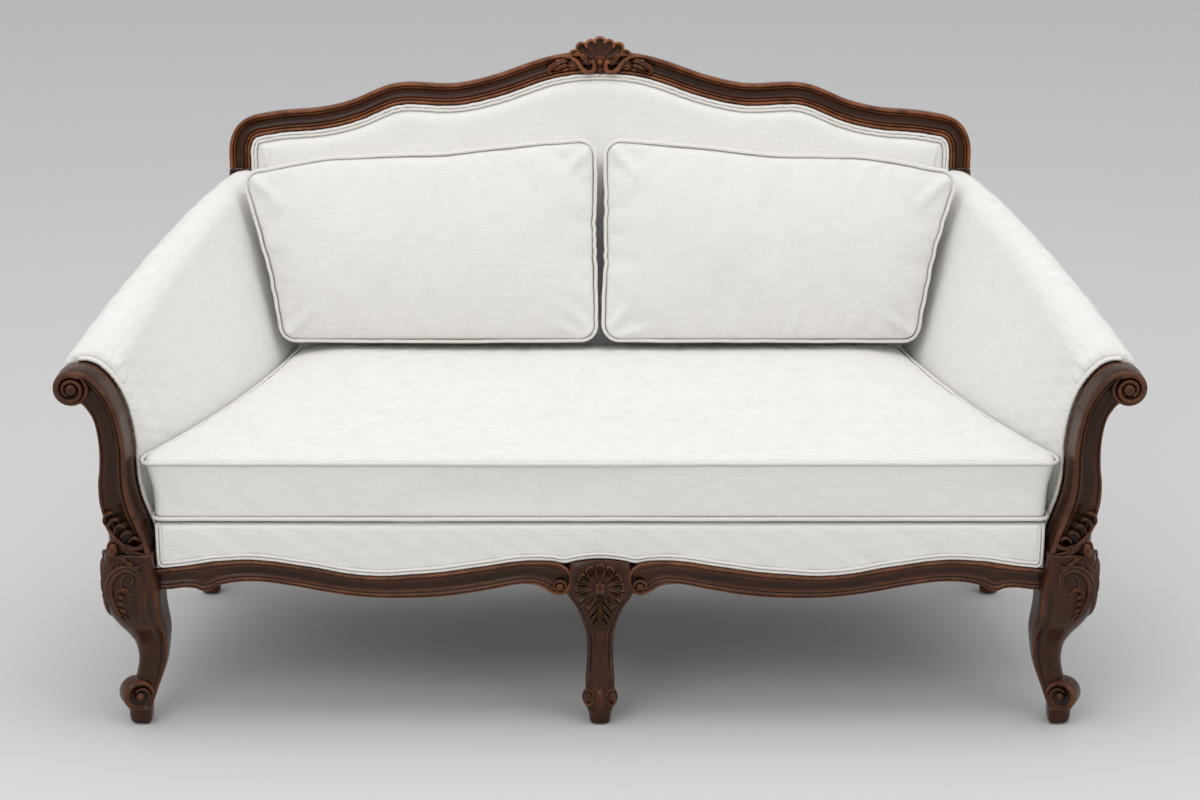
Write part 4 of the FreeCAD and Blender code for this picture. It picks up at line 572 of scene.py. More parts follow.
FRONT = np.array([0.0, -1.0, 0.0])
VOLUTE = np.array([-865.0, 606.0])
SUPPORT_INNER = [(-748, 318), (-752, 334), (-758, 358), (-771, 396), (-778, 428), (-780, 461),
                 (-779.5, 498), (-783, 530), (-789, 560), (-799, 588), (-813, 611), (-831, 630),
                 (-849, 638), (-865, 638.5)]
SUPPORT_OUTER = [(-800, 318), (-806, 334), (-814, 352), (-823, 378), (-829, 408), (-829.5, 440),
                 (-826, 468), (-824.5, 500), (-826.5, 530), (-831, 552), (-838, 566), (-846, 577),
                 (-856, 584), (-865, 588)]
SUPPORT_GROUND = -35
SUPPORT_RETURN = 47
SUPPORT_SECTION = np.array([
    (0.0, 60.0), (0.0, 20), (0.0, 6.0), (0.01, 3.2), (0.035, 1.2), (0.07, 0.6), (0.10, 1.6), (0.125, 4.4),
    (0.15, 5.2), (0.18, 4.6), (0.24, 6.4), (0.33, 8.2), (0.44, 9.0), (0.55, 8.2), (0.64, 6.0),
    (0.70, 3.6), (0.735, 2.8), (0.75, 4.2), (0.765, 4.2), (0.79, 0.4), (0.83, -2.6), (0.88, -3.9),
    (0.93, -3.2), (0.965, -0.6), (0.985, 3.0), (1.0, 7.0), (1.03, 20), (1.10, 40), (1.17, 60.0),
])


def front_points(line, y):
    """Points of the front view, given as X and Z, at a depth."""
    line = np.asarray(line, float)
    return np.stack([line[:, 0], np.broadcast_to(y, len(line)), line[:, 1]], axis=1)


def support_board():
    inner = curve(SUPPORT_INNER, 260)
    outer = curve(SUPPORT_OUTER, 260)
    rows = []
    for across, depth in SUPPORT_SECTION:
        line = outer + (inner - outer) * min(across, 1.0)
        line = line + np.array([1.0, 0.0]) * max(0.0, across - 1.0) * SUPPORT_RETURN
        rows.append(front_points(line, SUPPORT_GROUND + depth))
    return sheet(np.stack(rows, axis=1), wrap=True, caps=True)


def front_path(points, depths, count):
    return curve([(x, y, z) for (x, z), y in zip(points, depths)], count)


def front_leaf(points, depths, width, height, teeth=0, vein=0.35):
    return leaf(front_path(points, depths, 40), FRONT, width, height, teeth, vein)


def front_cord(points, depths, radius, count=60):
    return cord(front_path(points, depths, count), radius, normals=FRONT)


def volute():
    """The scroll at a support's top: a drum, a bead that winds inwards and a ball in its eye."""
    profile = [(28, 25), (29.5, 10), (29.5, -28), (28.8, -33), (27, -35.5), (24, -34.5), (19, -31), (15, -30),
               (2, -30)]
    rings = [front_points(VOLUTE + radius * circle(72), y) for radius, y in profile]
    parts = [sheet(np.stack(rings), wrap=True, caps=True)]
    wind = np.linspace(0, 1, 150)
    angle = math.radians(52) + wind * math.radians(545)
    reach = 25.5 - 14.5 * wind ** 0.9
    spiral = VOLUTE + reach[:, None] * np.stack([np.cos(angle), np.sin(angle)], 1)
    path = front_points(spiral, SUPPORT_GROUND - 2.5 * wind)
    thick = (4.6 - 1.6 * wind) * ramp(wind, -0.05, 0.03)
    parts.append(cord(path, thick, sides=12, normals=FRONT))
    parts.append(ball((VOLUTE[0] + 1, -33, VOLUTE[1]), (11.0, 10.5, 11.0), 26))
    return parts


def support_carving():
    """The leaf spray across the support's foot, and the small ball scroll at its outer edge."""
    stem = [(-822, 384), (-817, 366), (-808, 352), (-797, 340), (-784, 329), (-770, 321), (-757, 317)]
    parts = [front_cord(stem, [-30, -35, -37, -38, -38, -37, -34], 3.0)]
    lobes = [
        ([(-820, 366), (-822, 378), (-818, 389), (-810, 393), (-806, 387)], 3.2),
        ([(-814, 356), (-815, 369), (-809, 380), (-800, 381), (-798, 373)], 3.4),
        ([(-806, 347), (-806, 359), (-799, 370), (-790, 369), (-789, 361)], 3.4),
        ([(-796, 339), (-795, 350), (-787, 359), (-778, 357), (-778, 349)], 3.4),
        ([(-784, 332), (-782, 342), (-774, 349), (-766, 346), (-767, 339)], 3.2),
    ]
    for points, width in lobes:
        parts.append(front_leaf(points, [-32, -35, -37, -37, -35], width, 5.5, 0, 0.3))
    parts.append(front_leaf([(-788, 337), (-776, 331), (-764, 333), (-757, 342), (-762, 348)],
                            [-36, -39, -40, -38, -36], 3.8, 5.5))
    parts.append(front_leaf([(-806, 346), (-794, 330), (-780, 319), (-764, 311)], [-33, -36, -36, -33],
                            4.6, 5.0))
    parts.append(ball((-809, -36, 327), (8.6, 11, 13.5), 22))
    parts.append(front_cord([(-801, 338), (-806, 344), (-814, 341), (-818, 331), (-816, 319), (-809, 313),
                             (-801, 314)], [-38] * 7, 2.2))
    return parts


add_pair("carved_arm_support", [support_board()] + volute() + support_carving(), WALNUT_UP,
         replaces=["arm_support"])


# Front corner legs. The leg is drawn about the middle of its foot, for the left-hand side.

LEG_LEVELS = [
    (3, 0, 17), (8, 0, 19.0), (26, 0, 20.5), (31, -2, 22.0), (37, 2, 21), (50, 9, 21), (64, 15, 21.5),
    (76, 20, 22.5), (90, 26, 23.5), (104, 30.5, 24.3), (120, 32.5, 25.5), (142, 31.5, 29.0),
    (164, 24.5, 35.5), (186, 13, 42.0), (208, 4, 46.5), (228, 0.5, 48.5), (249, -0.5, 49.5),
    (268, -2, 48), (286, -4, 45), (302, -4, 42.5), (317.5, -3, 41),
]
LEG_SIDES = 120
LEG_ROUNDNESS = 2.5
LEG_CENTRE = -784


def leg_outline(half, roundness, beads, outward_turn):
    """A rounded square whose outward corner is full and whose side corners carry beads."""
    turn = np.linspace(-math.pi, math.pi, LEG_SIDES, endpoint=False)
    from_out = np.abs((turn - outward_turn + math.pi) % (2 * math.pi) - math.pi)
    power = roundness + (6.5 - roundness) * ramp(from_out, 0.5, 1.3)
    reach = half / (np.abs(np.cos(turn)) ** power + np.abs(np.sin(turn)) ** power) ** (1 / power)
    edge = np.abs(from_out - math.pi / 2)
    reach += beads * (2.7 * bump(edge, 0, 0.085) - 2.6 * bump(from_out, math.pi / 2 - 0.20, 0.07))
    return reach[:, None] * np.stack([np.cos(turn), np.sin(turn)], axis=1)


def leg_rows(levels, outward_turn, bead_low, bead_high, rows):
    """A leg's surface: each level gives its height, its shift along the outward line and its half width."""
    table = curve(levels, rows)
    direction = np.array([math.cos(outward_turn), math.sin(outward_turn)])
    points = []
    for z, shift, half in table:
        carved = float(ramp(z, bead_low, bead_low + 25) * (1 - ramp(z, bead_high - 20, bead_high)))
        full = LEG_ROUNDNESS + 1.8 * float(ramp(z, 285, 312)) - 0.4 * float(1 - ramp(z, 30, 60))
        outline = leg_outline(half, full, carved, outward_turn) - direction * shift
        points.append(np.concatenate([outline, np.full((LEG_SIDES, 1), z)], axis=1))
    return np.stack(points)


OUT_LEFT = math.radians(-135)
CORNER_ROWS = leg_rows(LEG_LEVELS, OUT_LEFT, 52, 262, 210)


def surface_tree(part):
    points, faces = part
    return BVHTree.FromPolygons([Vector(point) for point in points.tolist()], faces)


def on_surface(tree, line, lift):
    """A line of the front view laid on a surface that is seen from the front, and its normals."""
    places = []
    normals = []
    for (x, z), up in zip(line, lift):
        hit, normal = tree.ray_cast(Vector((x, -400, z)), Vector((0, 1, 0)))[:2]
        if hit is None:
            hit, normal = tree.find_nearest(Vector((x, -60, z)))[:2]
        normal = np.array(normal)
        if normal[1] > 0:
            normal = -normal
        places.append(np.array(hit) + normal * up)
        normals.append(normal)
    normals = np.array(normals)
    for _ in range(6):
        normals[1:-1] = (normals[:-2] + normals[1:-1] * 2 + normals[2:]) / 4
    return np.array(places), unit(normals)


def swapped(part):
    """A corner leg's carving on the other side of its outward line."""
    points, faces = part
    return points[:, [1, 0, 2]], [face[::-1] for face in faces]


CORNER_LEG = sheet(CORNER_ROWS, wrap=True, caps=True)
LEG_TREE = surface_tree(CORNER_LEG)


def on_knee(points, lift, count):
    line = curve([(x - LEG_CENTRE, z) for x, z in points], count)
    return on_surface(LEG_TREE, line, np.full(count, lift))


def knee_leaf(points, width, height, teeth=0, vein=0.35, lift=0.0, count=44):
    return leaf(*on_knee(points, lift, count), width, height, teeth, vein)


def knee_cord(points, radius, lift, count=70):
    """A cord on the knee that thins at both ends."""
    path, normals = on_knee(points, lift, count)
    ends = np.clip(np.minimum(np.linspace(0, 8, count), np.linspace(8, 0, count)), 0.25, 1)
    return cord(path, radius * ends, normals=normals)


def foot_scroll(centre, axis_turn, width, radius):
    """A foot's rolled scroll: a drum across its outward line, with a spiral and a ball on each face."""
    axis = np.array([math.cos(axis_turn), math.sin(axis_turn), 0.0])
    side = np.array([-axis[1], axis[0], 0.0])
    up = np.array([0, 0, 1.0])
    centre = np.asarray(centre, float)
    turn = np.linspace(0, 2 * math.pi, 64, endpoint=False)
    half = width / 2
    profile = [(3, half - 6), (radius * 0.55, half - 5), (radius * 0.72, half - 2.5), (radius * 0.86, half),
               (radius * 0.97, half - 2.5), (radius, half - 7), (radius * 1.01, 0)]
    profile += [(reach, -along) for reach, along in profile[-2::-1]]
    spin = side * np.cos(turn)[:, None] + up * np.sin(turn)[:, None]
    rings = [centre + spin * reach + axis * along for reach, along in profile]
    parts = [sheet(np.stack(rings), wrap=True, caps=True)]
    wind = np.linspace(0, 1, 90)
    angle = math.pi * (0.62 + 2.1 * wind)
    reach = radius * (0.86 - 0.44 * wind)
    for face in (1, -1):
        spin = side * np.cos(angle)[:, None] * face + up * np.sin(angle)[:, None]
        path = centre + spin * reach[:, None] + axis * face * (half - 1.5)
        parts.append(cord(path, 2.9 - 1.0 * wind, normals=axis * face))
        parts.append(ball(centre + axis * face * (half - 3.5), (8.0, 8.0, 8.0), 20))
    return parts


def corner_carving():
    """Acanthus on the knee: hatched outer leaf, a big C-shaped curl, serrations and a top leaf."""
    parts = [
        knee_leaf([(-774, 257), (-768, 268), (-768, 283), (-777, 294), (-790, 297), (-803, 292),
                   (-813, 280), (-818, 262), (-817, 245), (-812, 228), (-804, 212), (-795, 198)],
                  8.5, 6.5, 0, 0.5, 0.5, 90),
        knee_leaf([(-776, 256), (-783, 254), (-790, 261), (-800, 260), (-806, 250), (-809, 238)], 4.2, 5.5),
        knee_leaf([(-808, 246), (-801, 250), (-795, 245), (-798, 238)], 3.6, 5.5, 2),
        knee_leaf([(-808, 236), (-801, 238), (-795, 233), (-797, 226)], 3.4, 5.0, 2),
        knee_leaf([(-806, 225), (-800, 226), (-793, 220), (-794, 213)], 3.2, 4.6, 2),
        knee_leaf([(-803, 214), (-796, 213), (-790, 206), (-790, 198)], 2.8, 4.2, 1),
        knee_leaf([(-804, 318), (-794, 314), (-784, 306), (-774, 298), (-765, 301), (-759, 307)],
                  5.0, 6.5, 4, 0.35, 1.0),
        knee_leaf([(-806, 308), (-814, 297), (-820, 283), (-823, 268)], 5.0, 4.5, 0, 0.5),
        knee_leaf([(-800, 304), (-808, 292), (-813, 278)], 3.6, 4.0, 0, 0.5),
        knee_cord([(-786, 290), (-794, 283), (-798, 272), (-796, 262)], 1.8, 1.5),
        knee_cord([(-778, 287), (-777, 277), (-783, 270)], 1.6, 1.5),
    ]
    for step in range(5):
        drop = 9.0 * step
        parts.append(knee_cord([(-808 - 1.2 * step, 305 - drop), (-817 - 0.8 * step, 297 - drop),
                                (-824 - 0.2 * step, 284 - drop)], 1.0, 0.4, 24))
    return parts + [swapped(part) for part in parts]


def corner_leg():
    parts = [CORNER_LEG] + corner_carving()
    parts += foot_scroll((-4, -7, 55), math.radians(-64), 38, 27.5)
    return [moved(part, (LEG_CENTRE, 0, 0)) for part in parts]


add_pair("carved_front_leg", corner_leg(), WALNUT_UP, replaces=["front_leg"])


# Front centre leg

CENTRE_LEVELS = [
    (3, 2, 17, 19), (8, 2, 18, 20), (22, 0, 20, 21), (27, 0, 22, 23), (40, -1, 25.5, 24), (52, -1, 26, 24.5),
    (64, 1, 25, 24), (76, 5, 25, 23), (90, 10, 24, 22.5), (104, 14, 22.8, 22), (125, 16, 22.4, 22),
    (148, 14, 22.6, 23), (165, 11, 24, 24.5), (183, 7, 28.3, 26.5), (194, 4, 31.5, 28), (205, 2, 35, 29.5),
    (216, 1, 39.5, 30.5), (227, 0.5, 45.5, 31.5), (238, 0, 53.5, 32), (247, 0, 57, 32), (262, 0, 55, 32),
    (280, 0, 54, 31.5), (289, 0, 53.5, 29.5), (297, 1, 52, 25.5),
]
BLOCK_TOP, _, BLOCK_HALF, _ = CENTRE_LEVELS[-1]
BLOCK_CROWN = 7
ROSETTE_HEART = np.array([0.0, 258.0])
PETAL_COUNT = 11
PETAL_REACH = 42
FOOT_SCROLL_Z = 52


def centre_leg():
    table = curve(CENTRE_LEVELS, 220)
    turn = np.linspace(-math.pi, math.pi, 144, endpoint=False)
    rows = []
    for z, y, half, deep in table:
        power = 3.2 + 3.0 * float(ramp(z, 60, 110))
        reach = 1 / (np.abs(np.cos(turn)) ** power + np.abs(np.sin(turn)) ** power) ** (1 / power)
        x = half * reach * np.cos(turn)
        depth = deep * reach * np.sin(turn)
        front = ramp(-np.sin(turn), 0.2, 0.6)
        from_edge = half - np.abs(x)
        carved = float(ramp(z, 84, 104) * (1 - ramp(z, 246, 256)))
        depth += carved * front * (2.6 * bump(from_edge, 7.5, 2.2) - 1.4 * bump(from_edge, 3.2, 2.2))
        level = z + BLOCK_CROWN * float(ramp(z, 276, BLOCK_TOP)) * (1 - (x / half) ** 2)
        rows.append(np.stack([x, y + depth - 1, level], axis=1))
    return sheet(np.stack(rows), wrap=True, caps=True)


CENTRE_LEG = centre_leg()
CENTRE_TREE = surface_tree(CENTRE_LEG)


def centre_leaf(points, width, height, teeth=0, vein=0.35):
    line = curve(points, 36)
    path, normals = on_surface(CENTRE_TREE, line, np.zeros(len(line)))
    return leaf(path, normals, width, height, teeth, vein)


def petal(angle):
    """A broad petal with a hollow middle and a rolled rim, laid on the block."""
    heart = ROSETTE_HEART
    reach = PETAL_REACH
    out = np.array([math.cos(angle), math.sin(angle)])
    side = np.array([-out[1], out[0]])
    share = np.linspace(0.26, 1, 24)[:, None]
    across = np.linspace(-1, 1, 15)[None, :]
    round_tip = np.sqrt(np.clip(1 - across ** 2, 0, 1))
    radial = reach * share * (0.86 + 0.14 * round_tip)
    half = 10.4 * share * (1 - 0.25 * share ** 4)
    line_x = heart[0] + out[0] * radial + side[0] * half * across
    line_z = heart[1] + out[1] * radial + side[1] * half * across
    hollow = 4.8 * (1 - across ** 2) * ramp(share, 0.3, 0.7)
    rim = 4.6 * bump(share, 0.93, 0.09) * (0.4 + 0.6 * round_tip) + 1.2 * bump(np.abs(across), 0.72, 0.16)
    lift = 3.4 + 5.2 * share - hollow + rim
    lift = np.where((share > 0.985) | (np.abs(across) > 0.99), -1.5, lift)
    line = np.stack([line_x.ravel(), line_z.ravel()], axis=1)
    path, normals = on_surface(CENTRE_TREE, line, np.broadcast_to(lift, line_x.shape).ravel())
    rib = centre_leaf([heart + out * 16, heart + out * (0.55 * reach), heart + out * (0.80 * reach)],
                      1.7, 5.6, 0, 0)
    return [sheet(path.reshape(line_x.shape + (3,))), rib]


def rosette():
    """A rosette of broad petals round a quartered bud, and a drop of leaves below it."""
    heart_x, heart_z = ROSETTE_HEART
    parts = []
    for index in range(PETAL_COUNT):
        parts += petal(math.radians(-52 + 28.4 * index))
    parts.append(ball((heart_x, -34, heart_z), (12, 9, 13), 26))
    for index in range(4):
        angle = math.radians(45 + 90 * index)
        parts.append(ball((heart_x + 6.2 * math.cos(angle), -39, heart_z + 6.6 * math.sin(angle)),
                          (5.6, 5.4, 5.8), 16))
    drop = [
        centre_leaf([(-3, 243), (-12, 232), (-19, 222), (-25, 211)], 5.4, 7.6, 2),
        centre_leaf([(-2, 232), (-10, 222), (-17, 211), (-19, 200)], 5.0, 7.2, 2),
        centre_leaf([(-2, 218), (-8, 208), (-14, 197), (-15, 187)], 4.4, 6.6, 2),
        centre_leaf([(-1, 204), (-6, 195), (-10, 186), (-10, 176)], 3.8, 5.8, 1),
        centre_leaf([(-7, 244), (-19, 236), (-29, 229), (-35, 219)], 4.6, 6.4, 2),
    ]
    parts += both(drop)
    parts.append(centre_leaf([(0, 244), (0, 226), (0, 205), (0, 186), (0, 170)], 4.4, 9.0, 0, 0.45))
    parts.append(centre_leaf([(0, 178), (0, 160), (0, 148), (0, 134)], 7.6, 4.4, 0, 0.3))
    return parts


def centre_foot():
    """Two small scrolls at the sides of the centre foot and the swell between them."""
    wind = np.linspace(0, 1, 90)
    angle = math.radians(60) + wind * math.radians(500)
    reach = 12.5 * (1 - 0.62 * wind)
    spiral = np.stack([-19.5 - 0.74 * reach * np.cos(angle), -22.5 - 4 * wind,
                       FOOT_SCROLL_Z + 1.25 * reach * np.sin(angle)], axis=1)
    facing = unit(np.array([-0.45, -0.9, 0]))
    stem = curve([(-19, 98), (-20.5, 84), (-22, 72), (-19, 63)], 60)
    stem_path, stem_normals = on_surface(CENTRE_TREE, stem, np.full(len(stem), 0.3))
    half_parts = [
        cord(spiral, 3.2 - 1.1 * wind, normals=facing),
        ball((-20, -15.5, FOOT_SCROLL_Z), (10.5, 9.5, 16.5), 24),
        ball((-20.5, -23.5, FOOT_SCROLL_Z), (4.6, 5.0, 7.0), 16),
        cord(stem_path, 1.9, normals=stem_normals),
    ]
    return both(half_parts) + [ball((0, -14, 50), (11.5, 16, 21), 26)]


add_piece("carved_centre_leg", [CENTRE_LEG] + rosette() + centre_foot(), WALNUT_UP,
          replaces=["front_leg_centre"])


# Front aprons, drawn for the left-hand side

APRON_TOP = [(-745, 285), (-721, 288), (-697, 290.5), (-674, 294), (-650, 298), (-626, 300), (-603, 301.5),
             (-580, 301.5), (-556, 299.5), (-532, 296.5), (-509, 292.5), (-486, 289), (-463, 285),
             (-440, 280), (-416, 276), (-392, 273.5), (-369, 272.5), (-345, 273), (-322, 275), (-298, 276.5),
             (-275, 278.5), (-250, 281.5), (-228, 285), (-204, 288.5), (-181, 292), (-158, 296), (-134, 299),
             (-111, 300.5), (-87, 299.5), (-70, 297), (-58, 291), (-50, 282), (-47, 271)]
APRON_LOW = [(-745, 250.5), (-721, 251), (-697, 254), (-678, 252.5), (-666, 247.5), (-655, 249), (-640, 257),
             (-615, 263), (-590, 265), (-556, 263.5), (-509, 256), (-463, 247), (-416, 239.5), (-369, 235.5),
             (-322, 235), (-275, 237), (-228, 242.5), (-181, 251), (-148, 258), (-126, 261), (-112, 261),
             (-98, 257), (-89, 252), (-80, 245), (-72, 242.5), (-62, 242), (-54, 246), (-49, 256),
             (-47.5, 262)]
APRON_FACE = -22
APRON_EYE = (-67, 256)
APRON_SECTION = np.array([
    (0.0, 44), (0.0, 2.0), (0.03, -1.2), (0.08, -2.6), (0.13, -1.8), (0.16, 0.6), (0.19, 0.8), (0.23, 0.2),
    (0.32, 2.2), (0.45, 3.8), (0.58, 3.6), (0.68, 1.6), (0.74, -0.4), (0.765, 1.2), (0.785, 1.2),
    (0.81, -1.6), (0.86, -3.4), (0.90, -1.8), (0.915, -1.4), (0.94, -3.2), (0.975, -3.0), (1.0, -0.2),
    (1.0, 5.0), (1.0, 44),
])


def front_apron():
    top = curve(APRON_TOP, 420)
    low = curve(APRON_LOW, 420)
    x = np.linspace(-744.5, -47.2, 420)
    top_z = np.interp(x, top[:, 0], top[:, 1])
    low_z = np.interp(x, low[:, 0], low[:, 1])
    tongue = 2.0 * ramp(x, -60, -47)
    rows = []
    for share, depth in APRON_SECTION:
        rows.append(np.stack([x, APRON_FACE + depth + tongue, lerp(top_z, low_z, share)], axis=1))
    parts = [sheet(np.stack(rows, axis=1), wrap=True, caps=True)]
    rim = [(-126, 262.5), (-110, 262), (-97, 258), (-86, 251), (-76, 245.5), (-64, 244.5), (-55, 250),
           (-50, 262), (-50, 276), (-56, 288), (-68, 295.5), (-84, 298), (-104, 298)]
    parts.append(front_cord(rim, [-22, -23, -24, -25, -26, -26, -26, -26, -26, -26, -26, -25, -22], 2.6, 120))
    eye_x, eye_z = APRON_EYE
    parts.append(ball((eye_x, -25.0, eye_z), (6.4, 5.2, 6.4), 18))
    turn = np.linspace(math.radians(200), math.radians(-130), 9)
    ring = [(eye_x + 11.0 * math.cos(angle), eye_z + 10.5 * math.sin(angle)) for angle in turn]
    parts.append(front_cord(ring, [-24.5] * 9, 1.9))
    return parts


add_pair("carved_front_apron", front_apron(), WALNUT_ALONG, replaces=["front_apron"])


# Side aprons keep their solid; a bead follows each lower edge

SIDE_FRONT = np.array([824.5, 41.5])
SIDE_REAR = np.array([731.0, 650.0])
SIDE_OUT = np.array([-0.988, -0.152])
SIDE_BEAD_SET = 0.4


def side_half(depth):
    """Half the width over the side aprons' outer faces at a depth."""
    return lerp(SIDE_FRONT[0], SIDE_REAR[0], (depth - SIDE_FRONT[1]) / (SIDE_REAR[1] - SIDE_FRONT[1]))


def side_edge(share):
    """The left-hand side apron's lower arch, at shares of its length."""
    depth = lerp(SIDE_FRONT[1], SIDE_REAR[1], share)
    z = 254.2 + 14 * (1 - (2 * share - 1) ** 2)
    return np.stack([SIDE_OUT[0] * SIDE_BEAD_SET - side_half(depth), depth + SIDE_OUT[1] * SIDE_BEAD_SET, z],
                    axis=1)


add_pair("side_apron_bead", [cord(side_edge(np.linspace(0.012, 0.985, 120)), 3.6)], WALNUT_ALONG)


# Upholstery on the frame

def waver(values, seed, count=7, low=1.0, high=9.0):
    """A sum of slow waves over values, with a fixed seed: about -1 to 1."""
    chance = np.random.default_rng(seed)
    total = np.zeros_like(np.asarray(values, float))
    for _ in range(count):
        total += np.sin(values * chance.uniform(low, high) + chance.uniform(0, 6.3)) / math.sqrt(count)
    return total


def double_welt(path, out, beside_step, radius, seed):
    """Two cords side by side, a little uneven, along a path; out points away from what they lie on."""
    along = tangents(path)
    side = unit(np.cross(along, out))
    place = np.linspace(0, len(path) / 9, len(path))
    parts = []
    for step in (0, 1):
        shake = out * (0.25 * waver(place, seed + step))[:, None]
        parts.append(cord(path + side * (beside_step * step) + shake, radius, normals=out))
    return parts


ARM_FRONT = 25.3
ARM_RUN = 716.2
SEAT_LEVEL = 470.3
FRONT_ROLL = (842, 606, 52)  # half width, height and radius of the roll
REAR_ROLL = (664, 764, 32)
ARM_NECK = (834, 700)  # half width of the neck under the roll at the front and the rear
ROLL_CLIMB = 1.5
ARM_FOOT = 318.5
PANEL_FOOT = 291.5  # the outside arm's foot over the side apron
PANEL_FOOT_BY_LEG = 319.5
LEG_REAR = 43.5
STILE_FRONT = 648


def arm_inner_foot(share):
    return lerp(771, 565, share) - 128 * share * (1 - share)


def roll_centre_z(share):
    climb = 1 - np.clip(1 - share, 0, None) ** ROLL_CLIMB
    return lerp(FRONT_ROLL[1], REAR_ROLL[1], climb)


def arm_point(share, place, radius_change=0.0):
    """A point of an arm's section, half width and height: place 0 to 1 up the inside, to 2 over the roll."""
    centre_x = lerp(FRONT_ROLL[0], REAR_ROLL[0], share)
    centre_z = roll_centre_z(share)
    radius = lerp(FRONT_ROLL[2], REAR_ROLL[2], share)
    back_x = arm_inner_foot(share) - centre_x
    back_z = SEAT_LEVEL - centre_z
    start = np.arctan2(back_z, back_x) - np.arccos(radius / np.hypot(back_x, back_z)) + 2 * math.pi
    end = np.radians(lerp(-72, -20, np.clip(share, 0, 1)))
    tangent_x = centre_x + radius * np.cos(start)
    tangent_z = centre_z + radius * np.sin(start)
    slope = (tangent_x - arm_inner_foot(share)) / (tangent_z - SEAT_LEVEL)
    rise = np.clip(place, 0, 1)
    line_z = lerp(ARM_FOOT, tangent_z, rise)
    line_x = tangent_x - (tangent_z - line_z) * slope
    turn = lerp(start, end, np.clip(place - 1, 0, 1))
    radius = radius + radius_change
    on_roll = place > 1
    x = np.where(on_roll, centre_x + radius * np.cos(turn), line_x - radius_change)
    z = np.where(on_roll, centre_z + radius * np.sin(turn), line_z)
    return x, z


def back_plane(z, through):
    """Depth of the plane through the back at a height."""
    return BACK_FOOT[1] + (through + (z - BACK_FOOT[2]) * math.sin(LEAN)) / math.cos(LEAN)


def arm_cloth():
    """The cloth over one arm, from the sofa's back to the front, where it turns in and is pleated."""
    run = np.concatenate([np.array([0, 0, 1.5, 4, 7, 10.5, 14]) / 690, np.linspace(0.028, 1, 110)])
    inset = np.concatenate([[16, 8, 4.2, 2.0, 0.8, 0.2, 0], np.zeros(110)])
    place = np.concatenate([np.linspace(0, 1, 90)[:-1], np.linspace(1, 2, 80)])
    run, place = np.meshgrid(run, place, indexing="ij")
    inset = np.broadcast_to(inset[:, None], run.shape)
    depth = ARM_FRONT + run * ARM_RUN
    for _ in range(6):
        share = (depth - ARM_FRONT) / ARM_RUN
        z = arm_point(share, place)[1]
        depth = ARM_FRONT + run * (back_plane(z, -0.8) - ARM_FRONT)
    behind = depth - ARM_FRONT
    around = place * 14
    pleat = np.abs(np.sin(around * 2.3 + 0.8 * waver(around, 3) + behind * 0.006)) ** 1.6
    fold = -2.6 * pleat * np.exp(-behind / 34) * ramp(place, 0.38, 0.7) * (1 - ramp(place, 1.75, 2.0))
    pull = 0.9 * waver(around * 0.8 + behind * 0.022, 11) * np.exp(-behind / 170)
    drape = 1.1 * waver(behind * 0.018 + place * 2.0, 5) * ramp(place, 0.25, 0.6)
    tuck = -5.0 * ramp(run, 0.955, 1.0) * ramp(place, 0.3, 0.6)
    x, z = arm_point(share, place, np.minimum(fold + pull + drape + tuck, 0.8) - inset - 0.6)
    return np.stack([-x, depth, z], axis=-1)


ARM_CLOTH = arm_cloth()


def arm_end():
    """Closes the cloth under the roll, between the roll's lower edge and the outside arm."""
    edge = ARM_CLOTH[:, -1]
    share = np.clip((edge[:, 1] - ARM_FRONT) / ARM_RUN, 0, 1)
    neck_x = -(lerp(*ARM_NECK, share) - 6)
    neck_z = roll_low(share)
    neck = np.stack([neck_x, edge[:, 1], neck_z], axis=1)
    return np.stack([edge, lerp(edge, neck, 0.5) + np.array([0, 0, 2.0]), neck], axis=1)


def roll_low(share):
    return roll_centre_z(share) - lerp(FRONT_ROLL[2], REAR_ROLL[2], share)


def arm_front_cap():
    """Closes the front of the arm's padding behind the support."""
    rim = ARM_CLOTH[0]
    spine = rim.copy()
    spine[:, 0] = np.clip(rim[:, 0], -838, -800)
    spine[:, 2] = np.clip(rim[:, 2], 320, 600)
    return np.stack([rim, spine])


ARM_PAD = [sheet(ARM_CLOTH), sheet(arm_end()), sheet(arm_front_cap())]


def outside_panel(share, rise):
    """A point of the outside arm: rise 0 at its foot and 1 under the roll."""
    depth = ARM_FRONT + share * ARM_RUN
    foot_x = side_half(depth) + 0.3
    neck_x = lerp(*ARM_NECK, share)
    by_leg = (depth < LEG_REAR) | (depth > STILE_FRONT)
    low = np.where(by_leg, PANEL_FOOT_BY_LEG, PANEL_FOOT)
    top = roll_low(share) - 0.5
    z = lerp(low, top, rise)
    climb = np.clip((z - 318) / (top - 318), 0, 1)
    return lerp(foot_x, neck_x, climb), depth, z


def outside_arm_parts():
    share = np.concatenate([np.linspace(0.002, 0.0245, 4), np.linspace(0.0262, 0.862, 80),
                            np.linspace(0.868, 0.985, 12)])
    rise = np.linspace(0, 1, 60)
    share, rise = np.meshgrid(share, rise, indexing="ij")
    x, depth, z = outside_panel(share, rise)
    limit = back_plane(z, -1)
    free = depth < limit
    depth = np.minimum(depth, limit)
    middle = np.sin(math.pi * np.clip(rise, 0, 1)) * np.sin(math.pi * np.clip(share, 0, 1))
    puff = 1.8 * middle ** 0.5 + 0.7 * waver(depth * 0.02 + z * 0.011, 21) * middle
    edge = np.minimum(np.minimum(rise, 1 - rise) * 250, np.minimum(share, 1 - share) * 700)
    puff -= 3.0 * np.exp(-np.clip(edge, 0, None) / 2.5)
    panel = np.stack([-(x + puff), depth, z], axis=-1)
    parts = [sheet(panel)]
    rim = np.concatenate([panel[free[:, -1], -1][::-1], panel[0, ::-1], panel[free[:, 0], 0]])
    rim = resampled(rim, 420) + np.array([-1.2, 0, 0])
    parts.append(cord(rim, 2.4, normals=[-1.0, 0, 0]))
    return parts


